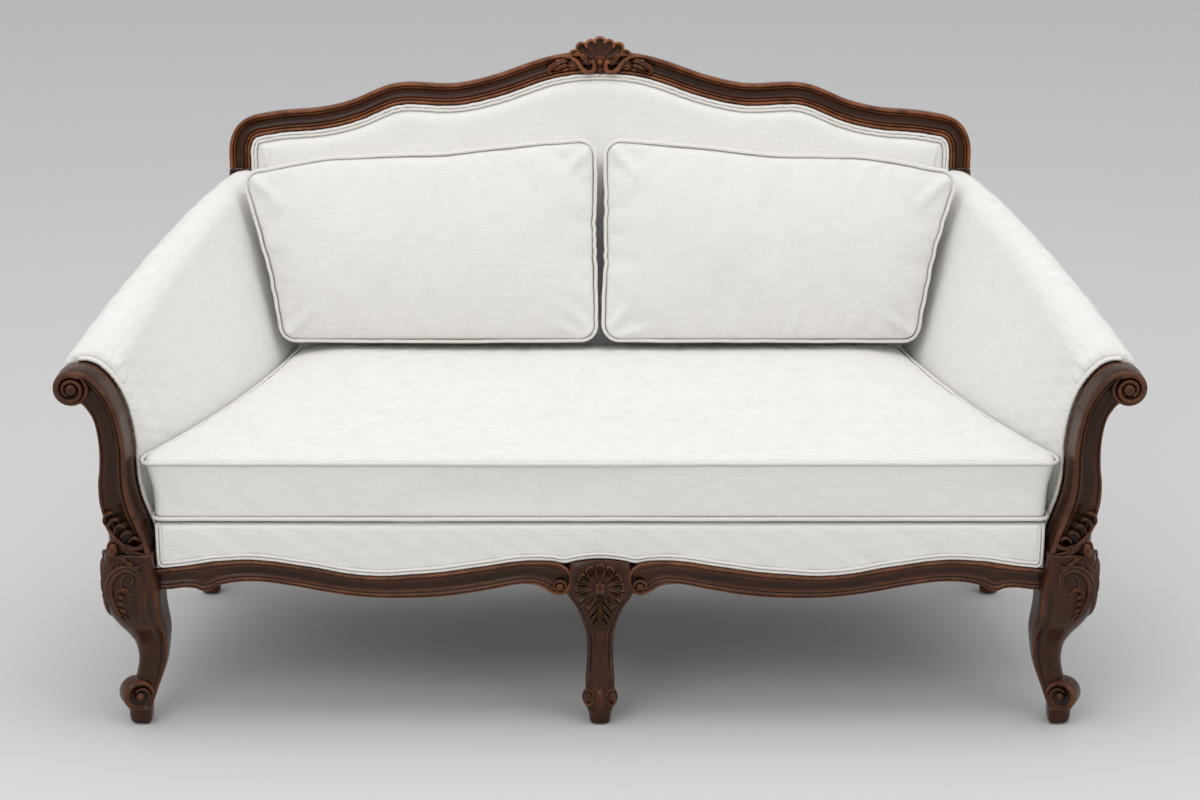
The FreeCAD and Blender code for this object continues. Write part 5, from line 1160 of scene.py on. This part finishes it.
add_pair("outside_arm_cloth", outside_arm_parts(), LINEN, replaces=["outside_arm"])


def arm_double_welt():
    """A double welt on the flat inner side of the support, where the arm's cloth meets it."""
    line = curve(SUPPORT_INNER, 300)
    line = line[line[:, 1] > 330]
    out = unit(np.stack([-tangents(line)[:, 1], tangents(line)[:, 0]], axis=1))
    if out[len(out) // 2, 0] < 0:
        out = -out
    rest = line + out * 4.2 + np.array([7.2, 0])
    path = front_points(rest, 22.3)
    normals = np.stack([out[:, 0], np.zeros(len(out)), out[:, 1]], axis=1)
    forward = np.array([0, -6.2, 0])
    along = np.linspace(0, len(path) / 9, len(path))
    parts = []
    for step in (0, 1):
        shake = normals * (0.3 * waver(along, 41 + step))[:, None]
        lean = np.array([-0.7, 0, 0]) * step
        parts.append(cord(path + forward * step + shake + lean, 3.2, normals=normals))
    return parts


add_pair("arm_double_welt", arm_double_welt(), WELT_LINEN, replaces=["arm_welt"])


# Inside and outside of the back

BACK_CLOTH_FOOT = 31


def back_panel(insets, middle_through, puff, seed):
    """A padded panel in the back's frame: rings drawn in from the rail's inner edge, then a filled middle."""
    used = CREST_LINE[:, 1] >= BACK_CLOTH_FOOT
    rings = []
    for inset, through in insets:
        last = (CREST_LINE + CREST_OUT * (-HALF_BAND - inset))[used]
        rings.append(on_back(last[:, 0], through, last[:, 1]))
    spine = np.stack([last[:, 0] * 0.94, np.full(len(last), float(BACK_CLOTH_FOOT))], axis=1)
    for share in np.linspace(0, 1, 28)[1:]:
        flat = lerp(last, spine, share)
        swell = puff * math.sin(math.pi / 2 * share) ** 0.8
        wave = 0.8 * waver(flat[:, 0] * 0.006 + flat[:, 1] * 0.013, seed)
        rings.append(on_back(flat[:, 0], middle_through + swell + wave * min(1.0, share * 4), flat[:, 1]))
    return [sheet(np.stack(rings))]


INSIDE_INSETS = [(0.5, 12), (0.6, 3), (2, -1.5), (7, -2.4), (12, -3.4), (15, -6.5), (19, -10.5), (24, -13.4),
                 (30, -14.9), (38, -15.3)]
add_piece("inside_back_cloth", back_panel(INSIDE_INSETS, -15.3, 0.6, 51), LINEN,
          replaces=["inside_back"])
OUTSIDE_INSETS = [(0.5, 24), (0.7, 31), (3, 34.0), (8, 35.6), (16, 36.2)]
add_piece("outside_back_cloth", back_panel(OUTSIDE_INSETS, 36.2, 0.9, 52), LINEN,
          replaces=["outside_back"])


def back_double_welt(through, radius, step):
    kept = CREST_LINE[:, 1] >= BACK_CLOTH_FOOT
    parts = []
    along = np.linspace(0, 100, len(CREST_LINE))
    for index in range(2):
        shake = 0.3 * waver(along, 61 + index)
        inset = -HALF_BAND - 0.4 - radius - index * step
        line = CREST_LINE + CREST_OUT * (inset + shake)[:, None]
        path = on_back(line[:, 0], through, line[:, 1])[kept]
        parts.append(cord(path, radius, normals=BACK_FRONT))
    return parts


add_piece("back_double_welt", back_double_welt(-5.2, 2.9, 5.7), WELT_LINEN, replaces=["back_welt"])
add_piece("outside_back_welt", back_double_welt(35.8, 2.2, 4.3), WELT_LINEN)


# Deck, front band and dust cover

DECK_HALF = 742
DECK_TOP = 366
DECK_FRONT = -1.5
DECK_REAR = 650.0


def deck_half(depth):
    share = (depth - ARM_FRONT) / ARM_RUN
    inner, _ = arm_point(share, np.full_like(share, 0.02))
    return np.where(depth < 36, DECK_HALF - 0.5, inner - 9.0)


def seat_deck_cloth():
    """The platform under the bench cushion: soft edges and a shallow quilting of its springs."""
    depth = np.concatenate([DECK_FRONT + np.array([0, 0, 2, 5, 9, 14]), np.linspace(20, 634, 70),
                            DECK_REAR - np.array([11, 7, 4, 1.5, 0, 0])])
    edge = np.concatenate([[40, 12, 5, 2.2, 0.8, 0.2], np.zeros(70), [0.2, 0.8, 2.2, 5, 12, 40]])
    across = np.concatenate([[-1, -1, -0.998, -0.994, -0.988], np.linspace(-0.975, 0.975, 90),
                             [0.988, 0.994, 0.998, 1, 1]])
    side_drop = np.concatenate([[40, 10, 4, 1.5, 0.4], np.zeros(90), [0.4, 1.5, 4, 10, 40]])
    grid_depth, grid_across = np.meshgrid(depth, across, indexing="ij")
    drop = np.maximum(edge[:, None], side_drop[None, :])
    x = grid_across * deck_half(grid_depth)
    soft = 0.8 + 0.6 * waver(x * 0.012 + grid_depth * 0.017, 71)
    z = DECK_TOP - drop - np.clip(soft, 0, 2) * (drop < 30)
    return sheet(np.stack([x, grid_depth, z], axis=-1))


add_piece("seat_deck_cloth", [seat_deck_cloth()], DECK_CLOTH, replaces=["seat_deck"])

BAND_FACE = -16.6
BAND_TOP = 363.5


def apron_top_at(x):
    top = curve(APRON_TOP, 420)
    return np.interp(-np.abs(x), top[:, 0], top[:, 1])


def band_low(x):
    """The show wood's upper edge under the band, over the aprons and the centre leg's block."""
    beside = np.abs(x)
    block_top = BLOCK_TOP + BLOCK_CROWN * (1 - np.clip(beside / BLOCK_HALF, 0, 1) ** 2)
    over_block = 1 - ramp(beside, BLOCK_HALF - 4, BLOCK_HALF + 8)
    return lerp(apron_top_at(np.maximum(beside, 66.0)), block_top, over_block)


def front_band_cloth():
    """The cloth band over the aprons, in one piece with a seam beside each post."""
    x = np.concatenate([[-741.5], np.linspace(-741, 741, 300), [741.5]])
    low = band_low(x) + 1.2
    rise = np.concatenate([np.linspace(0, 0.88, 26), [0.93, 0.965, 0.985, 1.0, 1.0]])
    back = np.concatenate([np.zeros(26), [0.5, 2.0, 5.0, 10.0, 15.0]])
    x_grid, rise_grid = np.meshgrid(x, rise, indexing="ij")
    z = lerp(low[:, None], BAND_TOP, rise_grid)
    seam = 1.4 * bump(np.abs(x_grid), 728.5, 1.6)
    puff = 0.9 * np.sin(math.pi * rise_grid) + 0.5 * waver(x_grid * 0.012 + z * 0.02, 81)
    pinch = 1.2 * np.abs(waver(x_grid * 0.09, 83, 5, 0.5, 2.5)) * np.exp(-rise_grid / 0.07)
    y = BAND_FACE + back[None, :] - puff * (back[None, :] < 3) + seam + pinch * 0.4
    return sheet(np.stack([x_grid, y, z], axis=-1))


add_piece("front_band_cloth", [front_band_cloth()], LINEN, replaces=["seat_front_band"])


def band_double_welt():
    """The double welt along the aprons and over the centre leg's block, and up beside the post."""
    x = np.linspace(-735.5, 1.0, 320)
    run = np.stack([x, np.full(320, BAND_FACE - 1.2), band_low(x) + 3.1], axis=1)
    post = np.array([(-738.4, BAND_FACE - 1.2, z) for z in np.linspace(362, 296, 30)])
    path = resampled(np.vstack([post, run]), 420)
    for _ in range(12):
        path[1:-1] = (path[:-2] + path[1:-1] * 2 + path[2:]) / 4
    return double_welt(path, FRONT, -5.6, 2.75, 91)


add_piece("band_double_welts", both(band_double_welt()), WELT_LINEN, replaces=["band_welts"])

DUST_LEVEL = 265.3
DUST_FRONT = 21.5
DUST_REAR = 612


def dust_cover_cloth():
    """Thin black cloth under the seat, tacked round its edge, that sags between the rails."""
    y = np.linspace(DUST_FRONT, DUST_REAR, 74)
    across = np.linspace(-1, 1, 140)
    depth, share = np.meshgrid(y, across, indexing="ij")
    half = side_half(depth) - 27.5
    x = share * half
    room = np.minimum(np.minimum(depth - DUST_FRONT, DUST_REAR - depth) / 60,
                      (1 - np.abs(share)) * half / 60)
    sag = 3.2 * ramp(room, 0, 3) + 0.6 * waver(x * 0.01 + depth * 0.013, 95) * ramp(room, 0, 1)
    points = np.stack([x, depth, DUST_LEVEL - sag], axis=-1)
    part_points, part_faces = sheet(points)
    centre = np.array([part_points[list(face)].mean(axis=0) for face in part_faces])
    beside, deep = np.abs(centre[:, 0]), centre[:, 1]
    by_front_legs = ((beside > 738) | (beside < 60)) & (deep < 46)
    by_rear_legs = ((beside > 706) & (deep > 560)) | ((beside < 44) & (deep > 566))
    cut = by_front_legs | by_rear_legs
    return part_points, [face for face, gone in zip(part_faces, cut) if not gone]


dust_cover = add_piece("dust_cover_cloth", [dust_cover_cloth()], BLACK_CLOTH,
                       replaces=["dust_cover"])

for side, shape in (("left", ARM_PAD), ("right", [mirrored(part) for part in ARM_PAD])):
    add_piece("arm_cloth_" + side, shape, LINEN, replaces=["arm_pad_" + side])


# Loose cushions. Each is drawn in its own frame: two directions over its face and one through it.

PIPING_RADIUS = 3.5
ZIP_WIDTH = 24
START_FULLNESS = 0.42  # of a cushion's height, before the cloth is blown up
BENCH_GRID = (128, 56)
PILLOW_GRID = (64, 38)


class Cushion:
    """A boxed cushion with two seams: a ring of points at each level and a gridded cap on each side."""

    def __init__(self, place, across, along):
        self.place = place
        self.across = across
        self.along = along
        self.length = 2 * (across + along)

    def ring(self, corners, sides, corner):
        """A closed outline through four corners; sides bow by the offsets given at shares of each."""
        points = []
        counts = (self.across, self.along, self.across, self.along)
        for index, count in enumerate(counts):
            start = np.asarray(corners[index], float)
            end = np.asarray(corners[(index + 1) % 4], float)
            share = np.arange(count) / count
            run = lerp(start, end, share[:, None])
            bow = sides[index]
            if bow is not None:
                run = run + bow(share)
            points.append(run)
        return self.rounded_corners(np.vstack(points), corner)

    def rounded_corners(self, outline, corner):
        """Draws the four corners in on round arcs."""
        starts = [0, self.across, self.across + self.along, 2 * self.across + self.along]
        result = outline.copy()
        for start in starts:
            middle = outline[start]
            before = unit(outline[start - 6] - middle)
            after = unit(outline[(start + 6) % self.length] - middle)
            half_angle = math.acos(float(before @ after)) / 2
            centre = middle + unit(before + after) * corner / math.sin(half_angle)
            tangent = corner / math.tan(half_angle)
            first = middle + before * tangent - centre
            last = middle + after * tangent - centre
            sweep_angle = math.pi - 2 * half_angle
            turn_sign = math.copysign(1, first[0] * last[1] - first[1] * last[0])
            for step in range(-10, 11):
                index = (start + step) % self.length
                distance = math.copysign(np.linalg.norm(outline[index] - middle), step)
                if abs(distance) < tangent:
                    angle = turn_sign * sweep_angle * (distance + tangent) / (2 * tangent)
                    turned = np.array([first[0] * math.cos(angle) - first[1] * math.sin(angle),
                                       first[0] * math.sin(angle) + first[1] * math.cos(angle)])
                    result[index] = centre + turned
        return result

    def cap(self, ring):
        """Inner points of a grid spanned inside a ring."""
        across, along = self.across, self.along
        front = ring[:across + 1]
        right = ring[across:across + along + 1]
        back = ring[across + along:2 * across + along + 1][::-1]
        left = np.vstack([ring[2 * across + along:], ring[:1]])[::-1]
        u = np.linspace(0, 1, across + 1)[None, :, None]
        v = np.linspace(0, 1, along + 1)[:, None, None]
        grid = (1 - v) * front[None] + v * back[None] + (1 - u) * left[:, None] + u * right[:, None]
        grid -= ((1 - u) * (1 - v) * front[0] + u * (1 - v) * front[-1]
                 + (1 - u) * v * back[0] + u * v * back[-1])
        return grid

    def build(self, rings, low_lift, high_lift):
        """All points and faces: rings from one seam to the other, and both caps lifted off their seams."""
        across, along = self.across, self.along
        points = [np.concatenate([ring, np.full((self.length, 1), level)], axis=1) for ring, level in rings]
        faces = []
        for row in range(len(rings) - 1):
            for column in range(self.length):
                after = (column + 1) % self.length
                low = row * self.length
                high = low + self.length
                faces.append((low + column, low + after, high + after, high + column))
        total = len(rings) * self.length
        for row, lift, flip in ((0, low_lift, True), (len(rings) - 1, high_lift, False)):
            ring, level = rings[row]
            grid = self.cap(ring)
            u = np.linspace(0, 1, across + 1)[None, :]
            v = np.linspace(0, 1, along + 1)[:, None]
            height = level + lift(grid, *np.broadcast_arrays(u, v))
            index = np.empty((along + 1, across + 1), int)
            base = row * self.length
            index[0, :] = base + np.arange(across + 1)
            index[:, across] = base + across + np.arange(along + 1)
            index[along, ::-1] = base + across + along + np.arange(across + 1)
            index[::-1, 0] = base + (2 * across + along + np.arange(along + 1)) % self.length
            inner = total + np.arange((along - 1) * (across - 1)).reshape(along - 1, across - 1)
            index[1:-1, 1:-1] = inner
            total += inner.size
            points.append(np.dstack([grid, height])[1:-1, 1:-1].reshape(-1, 3))
            for i in range(along):
                for j in range(across):
                    face = (index[i, j], index[i, j + 1], index[i + 1, j + 1], index[i + 1, j])
                    faces.append(tuple(int(c) for c in (face[::-1] if flip else face)))
        return np.vstack(points), faces


CLOTH_FRAMES = 20
CLOTH_SETTINGS = {
    "quality": 6,
    "mass": 0.25,
    "tension_stiffness": 12,
    "compression_stiffness": 12,
    "shear_stiffness": 6,
    "bending_stiffness": 0.3,
    "use_pressure": True,
    "uniform_pressure_force": 4.2,
    "vertex_group_mass": "seams",
    "shrink_min": -0.04,
}


def blown(name, points, faces, held, boxing, target, boxing_target):
    """The shape of a stuffed cover: its held points stay and the rest is blown up like a cushion."""
    mesh = bpy.data.meshes.new(name)
    mesh.from_pydata((points / 1000).tolist(), [], faces)
    outward_faces(mesh)
    body = bpy.data.objects.new(name, mesh)
    SCENE.collection.objects.link(body)
    group = body.vertex_groups.new(name="seams")
    group.add([int(index) for index in held], 1.0, "REPLACE")
    cloth = body.modifiers.new("cloth", "CLOTH")
    for key, value in CLOTH_SETTINGS.items():
        setattr(cloth.settings, key, value)
    cloth.settings.effector_weights.gravity = 0
    cloth.collision_settings.use_collision = False
    cloth.point_cache.frame_start = 1
    cloth.point_cache.frame_end = CLOTH_FRAMES
    for number in range(1, CLOTH_FRAMES + 1):
        SCENE.frame_set(number)
    shaped = body.evaluated_get(bpy.context.evaluated_depsgraph_get()).data
    result = np.array([tuple(vertex.co) for vertex in shaped.vertices]) * 1000
    bpy.data.objects.remove(body)
    SCENE.frame_set(1)
    travel = result - points
    reach = np.linalg.norm(travel, axis=1)
    free = np.ones(len(points), bool)
    free[held] = False
    free[boxing] = False
    travel[free] *= target / np.percentile(reach[free], 98)
    travel[boxing] *= min(1.0, boxing_target / reach[boxing].max())
    return points + travel


class Stuffing:
    """How full a cushion is: heights in millimetres and the places of its small folds."""

    def __init__(self, high, spread, low, seed, creases=(), gather=1.2, slow=1.1):
        self.high = high
        self.gather = gather
        self.slow = slow
        self.spread = spread
        self.low = low
        self.seed = seed
        self.creases = creases

    def creased(self, x, y):
        """Soft folds, each from one point to another of the face with a width and a height."""
        total = np.zeros_like(x)
        for x0, y0, x1, y1, wide, high in self.creases:
            along_x, along_y = x1 - x0, y1 - y0
            length = math.hypot(along_x, along_y)
            share = ((x - x0) * along_x + (y - y0) * along_y) / length ** 2
            off = ((x - x0) * along_y - (y - y0) * along_x) / length
            fade = ramp(share, -0.05, 0.12) * (1 - ramp(share, 0.35, 1.0))
            total += high * fade * (bump(off, 0, wide) - 0.55 * bump(np.abs(off), 1.7 * wide, wide))
        return total

    def from_seams(self, grid, u, v):
        """Distances to the nearest seam across and along the face."""
        return (np.minimum(u, 1 - u) * np.ptp(grid[..., 0]), np.minimum(v, 1 - v) * np.ptp(grid[..., 1]))

    def folds(self, grid, u, v):
        """Gathers along the seams and slow swells over the middle."""
        from_side, from_end = self.from_seams(grid, u, v)
        across = waver(grid[..., 0] * 0.16, self.seed, 6, 0.5, 2.2) * np.exp(-from_end / 16) * (from_end > 1)
        along = waver(grid[..., 1] * 0.16, self.seed + 1, 6, 0.5, 2.2)
        along = along * np.exp(-from_side / 16) * (from_side > 1)
        slow = waver(grid[..., 0] * 0.009 + grid[..., 1] * 0.006, self.seed + 2, 5, 0.6, 2.4)
        slow = slow + waver(grid[..., 1] * 0.013 - grid[..., 0] * 0.004, self.seed + 3, 5, 0.6, 2.4)
        middle = np.sin(math.pi * u) * np.sin(math.pi * v)
        return self.gather * (across + along) + self.slow * slow * np.sqrt(np.clip(middle, 0, 1))

    def upper(self, share):
        def lift(grid, u, v):
            from_side, from_end = self.from_seams(grid, u, v)
            round_side = np.sqrt(1 - (1 - np.clip(from_side / self.spread, 0, 1)) ** 2)
            round_end = np.sqrt(1 - (1 - np.clip(from_end / self.spread, 0, 1)) ** 2)
            fold = self.folds(grid, u, v) * 0.9 + self.creased(grid[..., 0], grid[..., 1])
            return self.high * share * (round_side * round_end) ** 0.8 + fold
        return lift

    def lower(self, grid, u, v):
        edge = np.clip(np.minimum(*self.from_seams(grid, u, v)) / 30, 0, 1)
        return -self.low * np.sqrt(1 - (1 - edge) ** 2)


def cushion_piece(cushion, rings, stuffing, name, flip, boxing_swell):
    """A cushion's cover, blown up between its held seams, and a piping cord on each seam."""
    start = START_FULLNESS
    points, faces = cushion.build(rings, stuffing.lower, stuffing.upper(start))
    points = cushion.place(points)
    length = cushion.length
    total_rings = len(rings) * length
    low_cap = total_rings + np.arange((cushion.across - 1) * (cushion.along - 1))
    held = np.concatenate([np.arange(length), np.arange(total_rings - length, total_rings), low_cap])
    boxing = np.arange(length, total_rings - length)
    points = blown(name, points, faces, held, boxing, stuffing.high * (1 - start), boxing_swell)
    part = (points, faces)
    seams = [points[:length], points[total_rings - length:total_rings]]
    if flip:
        part = mirrored(part)
    cover = add_piece(name + "_cover_cloth", [part], LINEN, name,
                      [name + "_cover", name + "_core"])
    smooth = cover.modifiers.new("smooth", "SUBSURF")
    smooth.levels = 1
    smooth.render_levels = 1
    cords = []
    for index, seam in enumerate(seams):
        centre = seam.mean(axis=0)
        out = unit(seam - centre)
        place = np.arange(len(seam)) * 0.5
        shake = 0.45 * waver(place, stuffing.seed + 7 + index, 6, 0.3, 1.6)
        shake = shake + 0.8 * waver(place * 0.16, stuffing.seed + 17 + index, 6, 0.4, 1.8)
        path = seam + out * (3.4 + shake)[:, None]
        count = len(path) * 2
        cords.append(cord(loop(path, count), PIPING_RADIUS, closed=True, normals=loop(out, count)))
    if flip:
        cords = [mirrored(item) for item in cords]
    add_piece(name + "_piping_cords", cords, WELT_LINEN, name, [name + "_piping"])
    return cover


def zip_parts(start, end, out):
    """A zip's tape with the two rows of its coil down the middle."""
    line = np.linspace(start, end, 90)
    side = unit(np.cross(unit(end - start), out))
    across = np.linspace(-ZIP_WIDTH / 2, ZIP_WIDTH / 2, 9)
    rows = line[:, None] + side * across[None, :, None] + out * 0.25
    parts = [sheet(rows)]
    for shift in (-1.1, 1.1):
        parts.append(cord(line + side * shift + out * 0.8, 1.1, sides=8, normals=out))
    return parts


SEAT_FRONT = -18
SEAT_REAR = 658
SEAT_LOWER = 372.3
SEAT_UPPER = 470.3
SEAT_TAPER = 24
FRONT_TAPER = 11
SEAM_INSET = 8


def sideways(off):
    """Offsets along the first direction of a cushion's face."""
    return np.stack([off, np.zeros_like(off)], axis=1)


def seat_side(depth):
    share = np.clip((depth - ARM_FRONT) / ARM_RUN, 0, 1)
    return np.where(depth < ARM_FRONT, lerp(772, 763, ramp(depth, -12, ARM_FRONT)),
                    arm_inner_foot(share) - 8)


def seat_ring(cushion, level, inset):
    drop = (SEAT_UPPER - level) / (SEAT_UPPER - SEAT_LOWER)
    taper = SEAT_TAPER * drop
    front_taper = FRONT_TAPER * drop
    front = SEAT_FRONT + inset
    rear = SEAT_REAR - inset
    half_front = float(seat_side(np.array(front))) - inset - front_taper
    half_rear = float(seat_side(np.array(rear))) - inset - taper

    def bow(share):
        depth = lerp(front, rear, share)
        drawn = lerp(front_taper, taper, ramp(depth, SEAT_FRONT, 90))
        return sideways(seat_side(depth) - inset - drawn - lerp(half_front, half_rear, share))

    def bow_left(share):
        return bow(1 - share) * np.array([-1, 0])

    corners = [(-half_front, front), (half_front, front), (half_rear, rear), (-half_rear, rear)]
    return cushion.ring(corners, [None, bow, None, bow_left], 15), level


BENCH_CREASES = [
    (-758, -8, -700, 44, 8, 2.6), (-755, 0, -722, 84, 7, 2.2), (758, -8, 704, 40, 8, 2.6),
    (755, 0, 728, 78, 7, 2.0), (-420, -10, -400, 40, 9, 1.4), (300, -10, 318, 46, 9, 1.4),
]
bench = Cushion(lambda points: points, *BENCH_GRID)
bench_rings = []
for share in np.linspace(0, 1, 10):
    waist = SEAM_INSET + 2.5 * math.sin(math.pi * share)
    bench_rings.append(seat_ring(bench, lerp(SEAT_LOWER, SEAT_UPPER, share), waist))
bench_stuffing = Stuffing(36, 120, 5.5, 201, BENCH_CREASES)
seat_cover = cushion_piece(bench, bench_rings, bench_stuffing, "seat_cushion", False, 3.5)
SEAT_ZIP_HALF = 380
seat_zip_end = np.array([SEAT_ZIP_HALF, SEAT_REAR - 8.2, (SEAT_LOWER + SEAT_UPPER) / 2])
add_piece("seat_cushion_zip_tape",
          zip_parts(seat_zip_end * np.array([-1, 1, 1]), seat_zip_end, np.array([0, 1.0, 0])),
          ZIP_TAPE, "seat_cushion", ["seat_cushion_zip"])


# Back cushions, drawn as the right-hand one and mirrored for the left

CUSHION_FOOT = 189.3
REAR_SEAM = 22.3
FRONT_SEAM = 138.3


def upright(points):
    return on_back(points[:, 0], -points[:, 2], points[:, 1])


def back_ring(cushion, level, inset, seed):
    forward = ramp(level, REAR_SEAM, FRONT_SEAM)
    foot = CUSHION_FOOT + inset - 4
    corners = [(inset, foot), (lerp(574, 592, forward) - inset, foot),
               (lerp(622, 663, forward) - inset, lerp(496, 508, forward) - inset),
               (3 + inset, lerp(542, 570, forward) - inset)]

    def top_bow(share):
        """The upper edge rises quickly from the outer corner, sags in the middle and rises again."""
        rise = 12.5 * bump(share, 0.24, 0.17) - 2.6 * bump(share, 0.57, 0.07)
        rise = (rise + 0.8 * waver(share * 5, seed + 4)) * np.sin(math.pi * share) ** 0.5
        return sideways(rise)[:, ::-1]

    def side_bow(share):
        bulge = np.sin(math.pi * share)
        return sideways(-9.0 * bulge + 1.2 * waver(share * 6, seed) * bulge)

    def inner_bow(share):
        bulge = np.sin(math.pi * share)
        return sideways(2.5 * bulge + 2.0 * np.abs(waver(share * 7, seed + 1)) * bulge)

    return cushion.ring(corners, [None, side_bow, top_bow, inner_bow], 30), level


PILLOW_CREASES = {
    "left": [(584, 196, 500, 280, 9, 7.5), (588, 200, 560, 310, 8, 5.6), (10, 200, 78, 276, 9, 6.8),
             (14, 196, 120, 232, 8, 5.2), (8, 560, 74, 488, 9, 6.2), (648, 500, 572, 436, 10, 5.8),
             (250, 526, 270, 410, 9, 4.8), (292, 526, 304, 432, 8, 4.2), (214, 528, 204, 442, 8, 3.6),
             (420, 198, 400, 262, 9, 3.4), (180, 198, 196, 254, 9, 3.2)],
    "right": [(584, 196, 492, 268, 9, 7.8), (588, 204, 556, 318, 8, 5.2), (10, 202, 72, 286, 9, 6.4),
              (14, 196, 128, 226, 8, 5.6), (10, 558, 84, 484, 10, 5.6), (646, 498, 566, 430, 10, 6.4),
              (480, 516, 458, 420, 9, 4.6), (528, 512, 516, 436, 8, 4.0), (330, 524, 336, 446, 8, 3.2),
              (350, 198, 372, 258, 9, 3.4), (250, 198, 238, 250, 9, 3.0)],
}

BACK_ZIP_MIDDLE = 286
BACK_ZIP_HALF = 230
BACK_ZIP_LEVEL = 80.0

for side, seed in (("left", 301), ("right", 331)):
    pillow = Cushion(upright, *PILLOW_GRID)
    rings = []
    for share in np.linspace(0, 1, 13):
        waist = SEAM_INSET + math.sin(math.pi * share)
        rings.append(back_ring(pillow, lerp(REAR_SEAM, FRONT_SEAM, share), waist, seed))
    name = "back_cushion_" + side
    stuffing = Stuffing(38, 175, 5.5, seed, PILLOW_CREASES[side], 1.7, 1.9)
    pillow_cover = cushion_piece(pillow, rings, stuffing, name, side == "left", 5.0)
    ends = [[BACK_ZIP_MIDDLE + end * BACK_ZIP_HALF, CUSHION_FOOT + 8.4, BACK_ZIP_LEVEL] for end in (-1, 1)]
    tape = zip_parts(*upright(np.array(ends)), -BACK_UP)
    if side == "left":
        tape = [mirrored(part) for part in tape]
    add_piece(name + "_zip_tape", tape, ZIP_TAPE, name, [name + "_zip"])


# Floor, backdrop, lamps and camera

def stage_surface():
    """A pale sweep of floor and wall behind the sofa, in metres."""
    bend = np.linspace(0, math.pi / 2, 24)
    radius = 2.6
    wall = 10.0
    profile = [(-14.0, 0.0)]
    profile += [(wall - radius + radius * math.sin(a), radius - radius * math.cos(a)) for a in bend]
    profile += [(wall, 12.0)]
    rows = [[(-16, y, z), (16, y, z)] for y, z in profile]
    points, faces = sheet(np.array(rows, float))
    mesh = bpy.data.meshes.new("studio_sweep")
    mesh.from_pydata(points.tolist(), [], faces)
    mesh.shade_smooth()
    sweep_object = bpy.data.objects.new("studio_sweep", mesh)
    SCENE.collection.objects.link(sweep_object)
    return sweep_object


FLOOR_COLOUR = (0.68, 0.68, 0.682, 1.0)
studio_paper = Shader("studio_paper").finish(Base_Color=FLOOR_COLOUR, Roughness=0.95, Specular_IOR_Level=0.1)
studio = stage_surface()
studio.data.materials.append(studio_paper)


def lamp(name, place, target, size, power, colour=(1, 1, 1)):
    data = bpy.data.lights.new(name, "AREA")
    data.shape = "RECTANGLE"
    data.size, data.size_y = size
    data.energy = power
    data.color = colour
    light = bpy.data.objects.new(name, data)
    light.location = place
    direction = Vector(target) - Vector(place)
    light.rotation_euler = direction.to_track_quat("-Z", "Y").to_euler()
    SCENE.collection.objects.link(light)


lamp("key_lamp", (-1.9, -3.6, 3.7), (0, 0, 0.5), (2.6, 1.8), 33, (1, 0.985, 0.965))
lamp("fill_lamp", (3.0, -3.0, 2.6), (0, 0, 0.5), (2.4, 1.8), 12, (1, 0.99, 0.975))
lamp("top_lamp", (0, -0.5, 4.2), (0, 0.1, 0), (3.4, 2.6), 43)

SKY_LOW = (0.64, 0.64, 0.645, 1)
SKY_HIGH = (0.86, 0.86, 0.86, 1)
world = bpy.data.worlds.new("studio")
world.use_nodes = True
sky = world.node_tree
sky_direction = sky.nodes.new("ShaderNodeTexCoord")
sky_height = sky.nodes.new("ShaderNodeSeparateXYZ")
sky_ramp = sky.nodes.new("ShaderNodeValToRGB")
sky.links.new(sky_direction.outputs["Generated"], sky_height.inputs[0])
sky.links.new(sky_height.outputs["Z"], sky_ramp.inputs[0])
sky.links.new(sky_ramp.outputs[0], sky.nodes["Background"].inputs["Color"])
for element, place, colour in zip(sky_ramp.color_ramp.elements, (0.05, 0.95), (SKY_LOW, SKY_HIGH)):
    element.position = place
    element.color = colour
sky.nodes["Background"].inputs["Strength"].default_value = 1.0
SCENE.world = world

# The camera of the photograph: metres ahead of the front feet and over the floor, and degrees down

CAMERA_AHEAD = 4.30
CAMERA_HEIGHT = 1.97
CAMERA_PITCH = 17.95
camera_data = bpy.data.cameras.new("camera")
camera_data.sensor_width = 36
camera_data.lens = 82.32
camera = bpy.data.objects.new("camera", camera_data)
camera.location = (0, -CAMERA_AHEAD - DEPTH_CENTRE / 1000, CAMERA_HEIGHT)
camera.rotation_euler = (math.radians(90 - CAMERA_PITCH), 0, 0)
SCENE.collection.objects.link(camera)
SCENE.camera = camera
SCENE.view_settings.view_transform = "Standard"

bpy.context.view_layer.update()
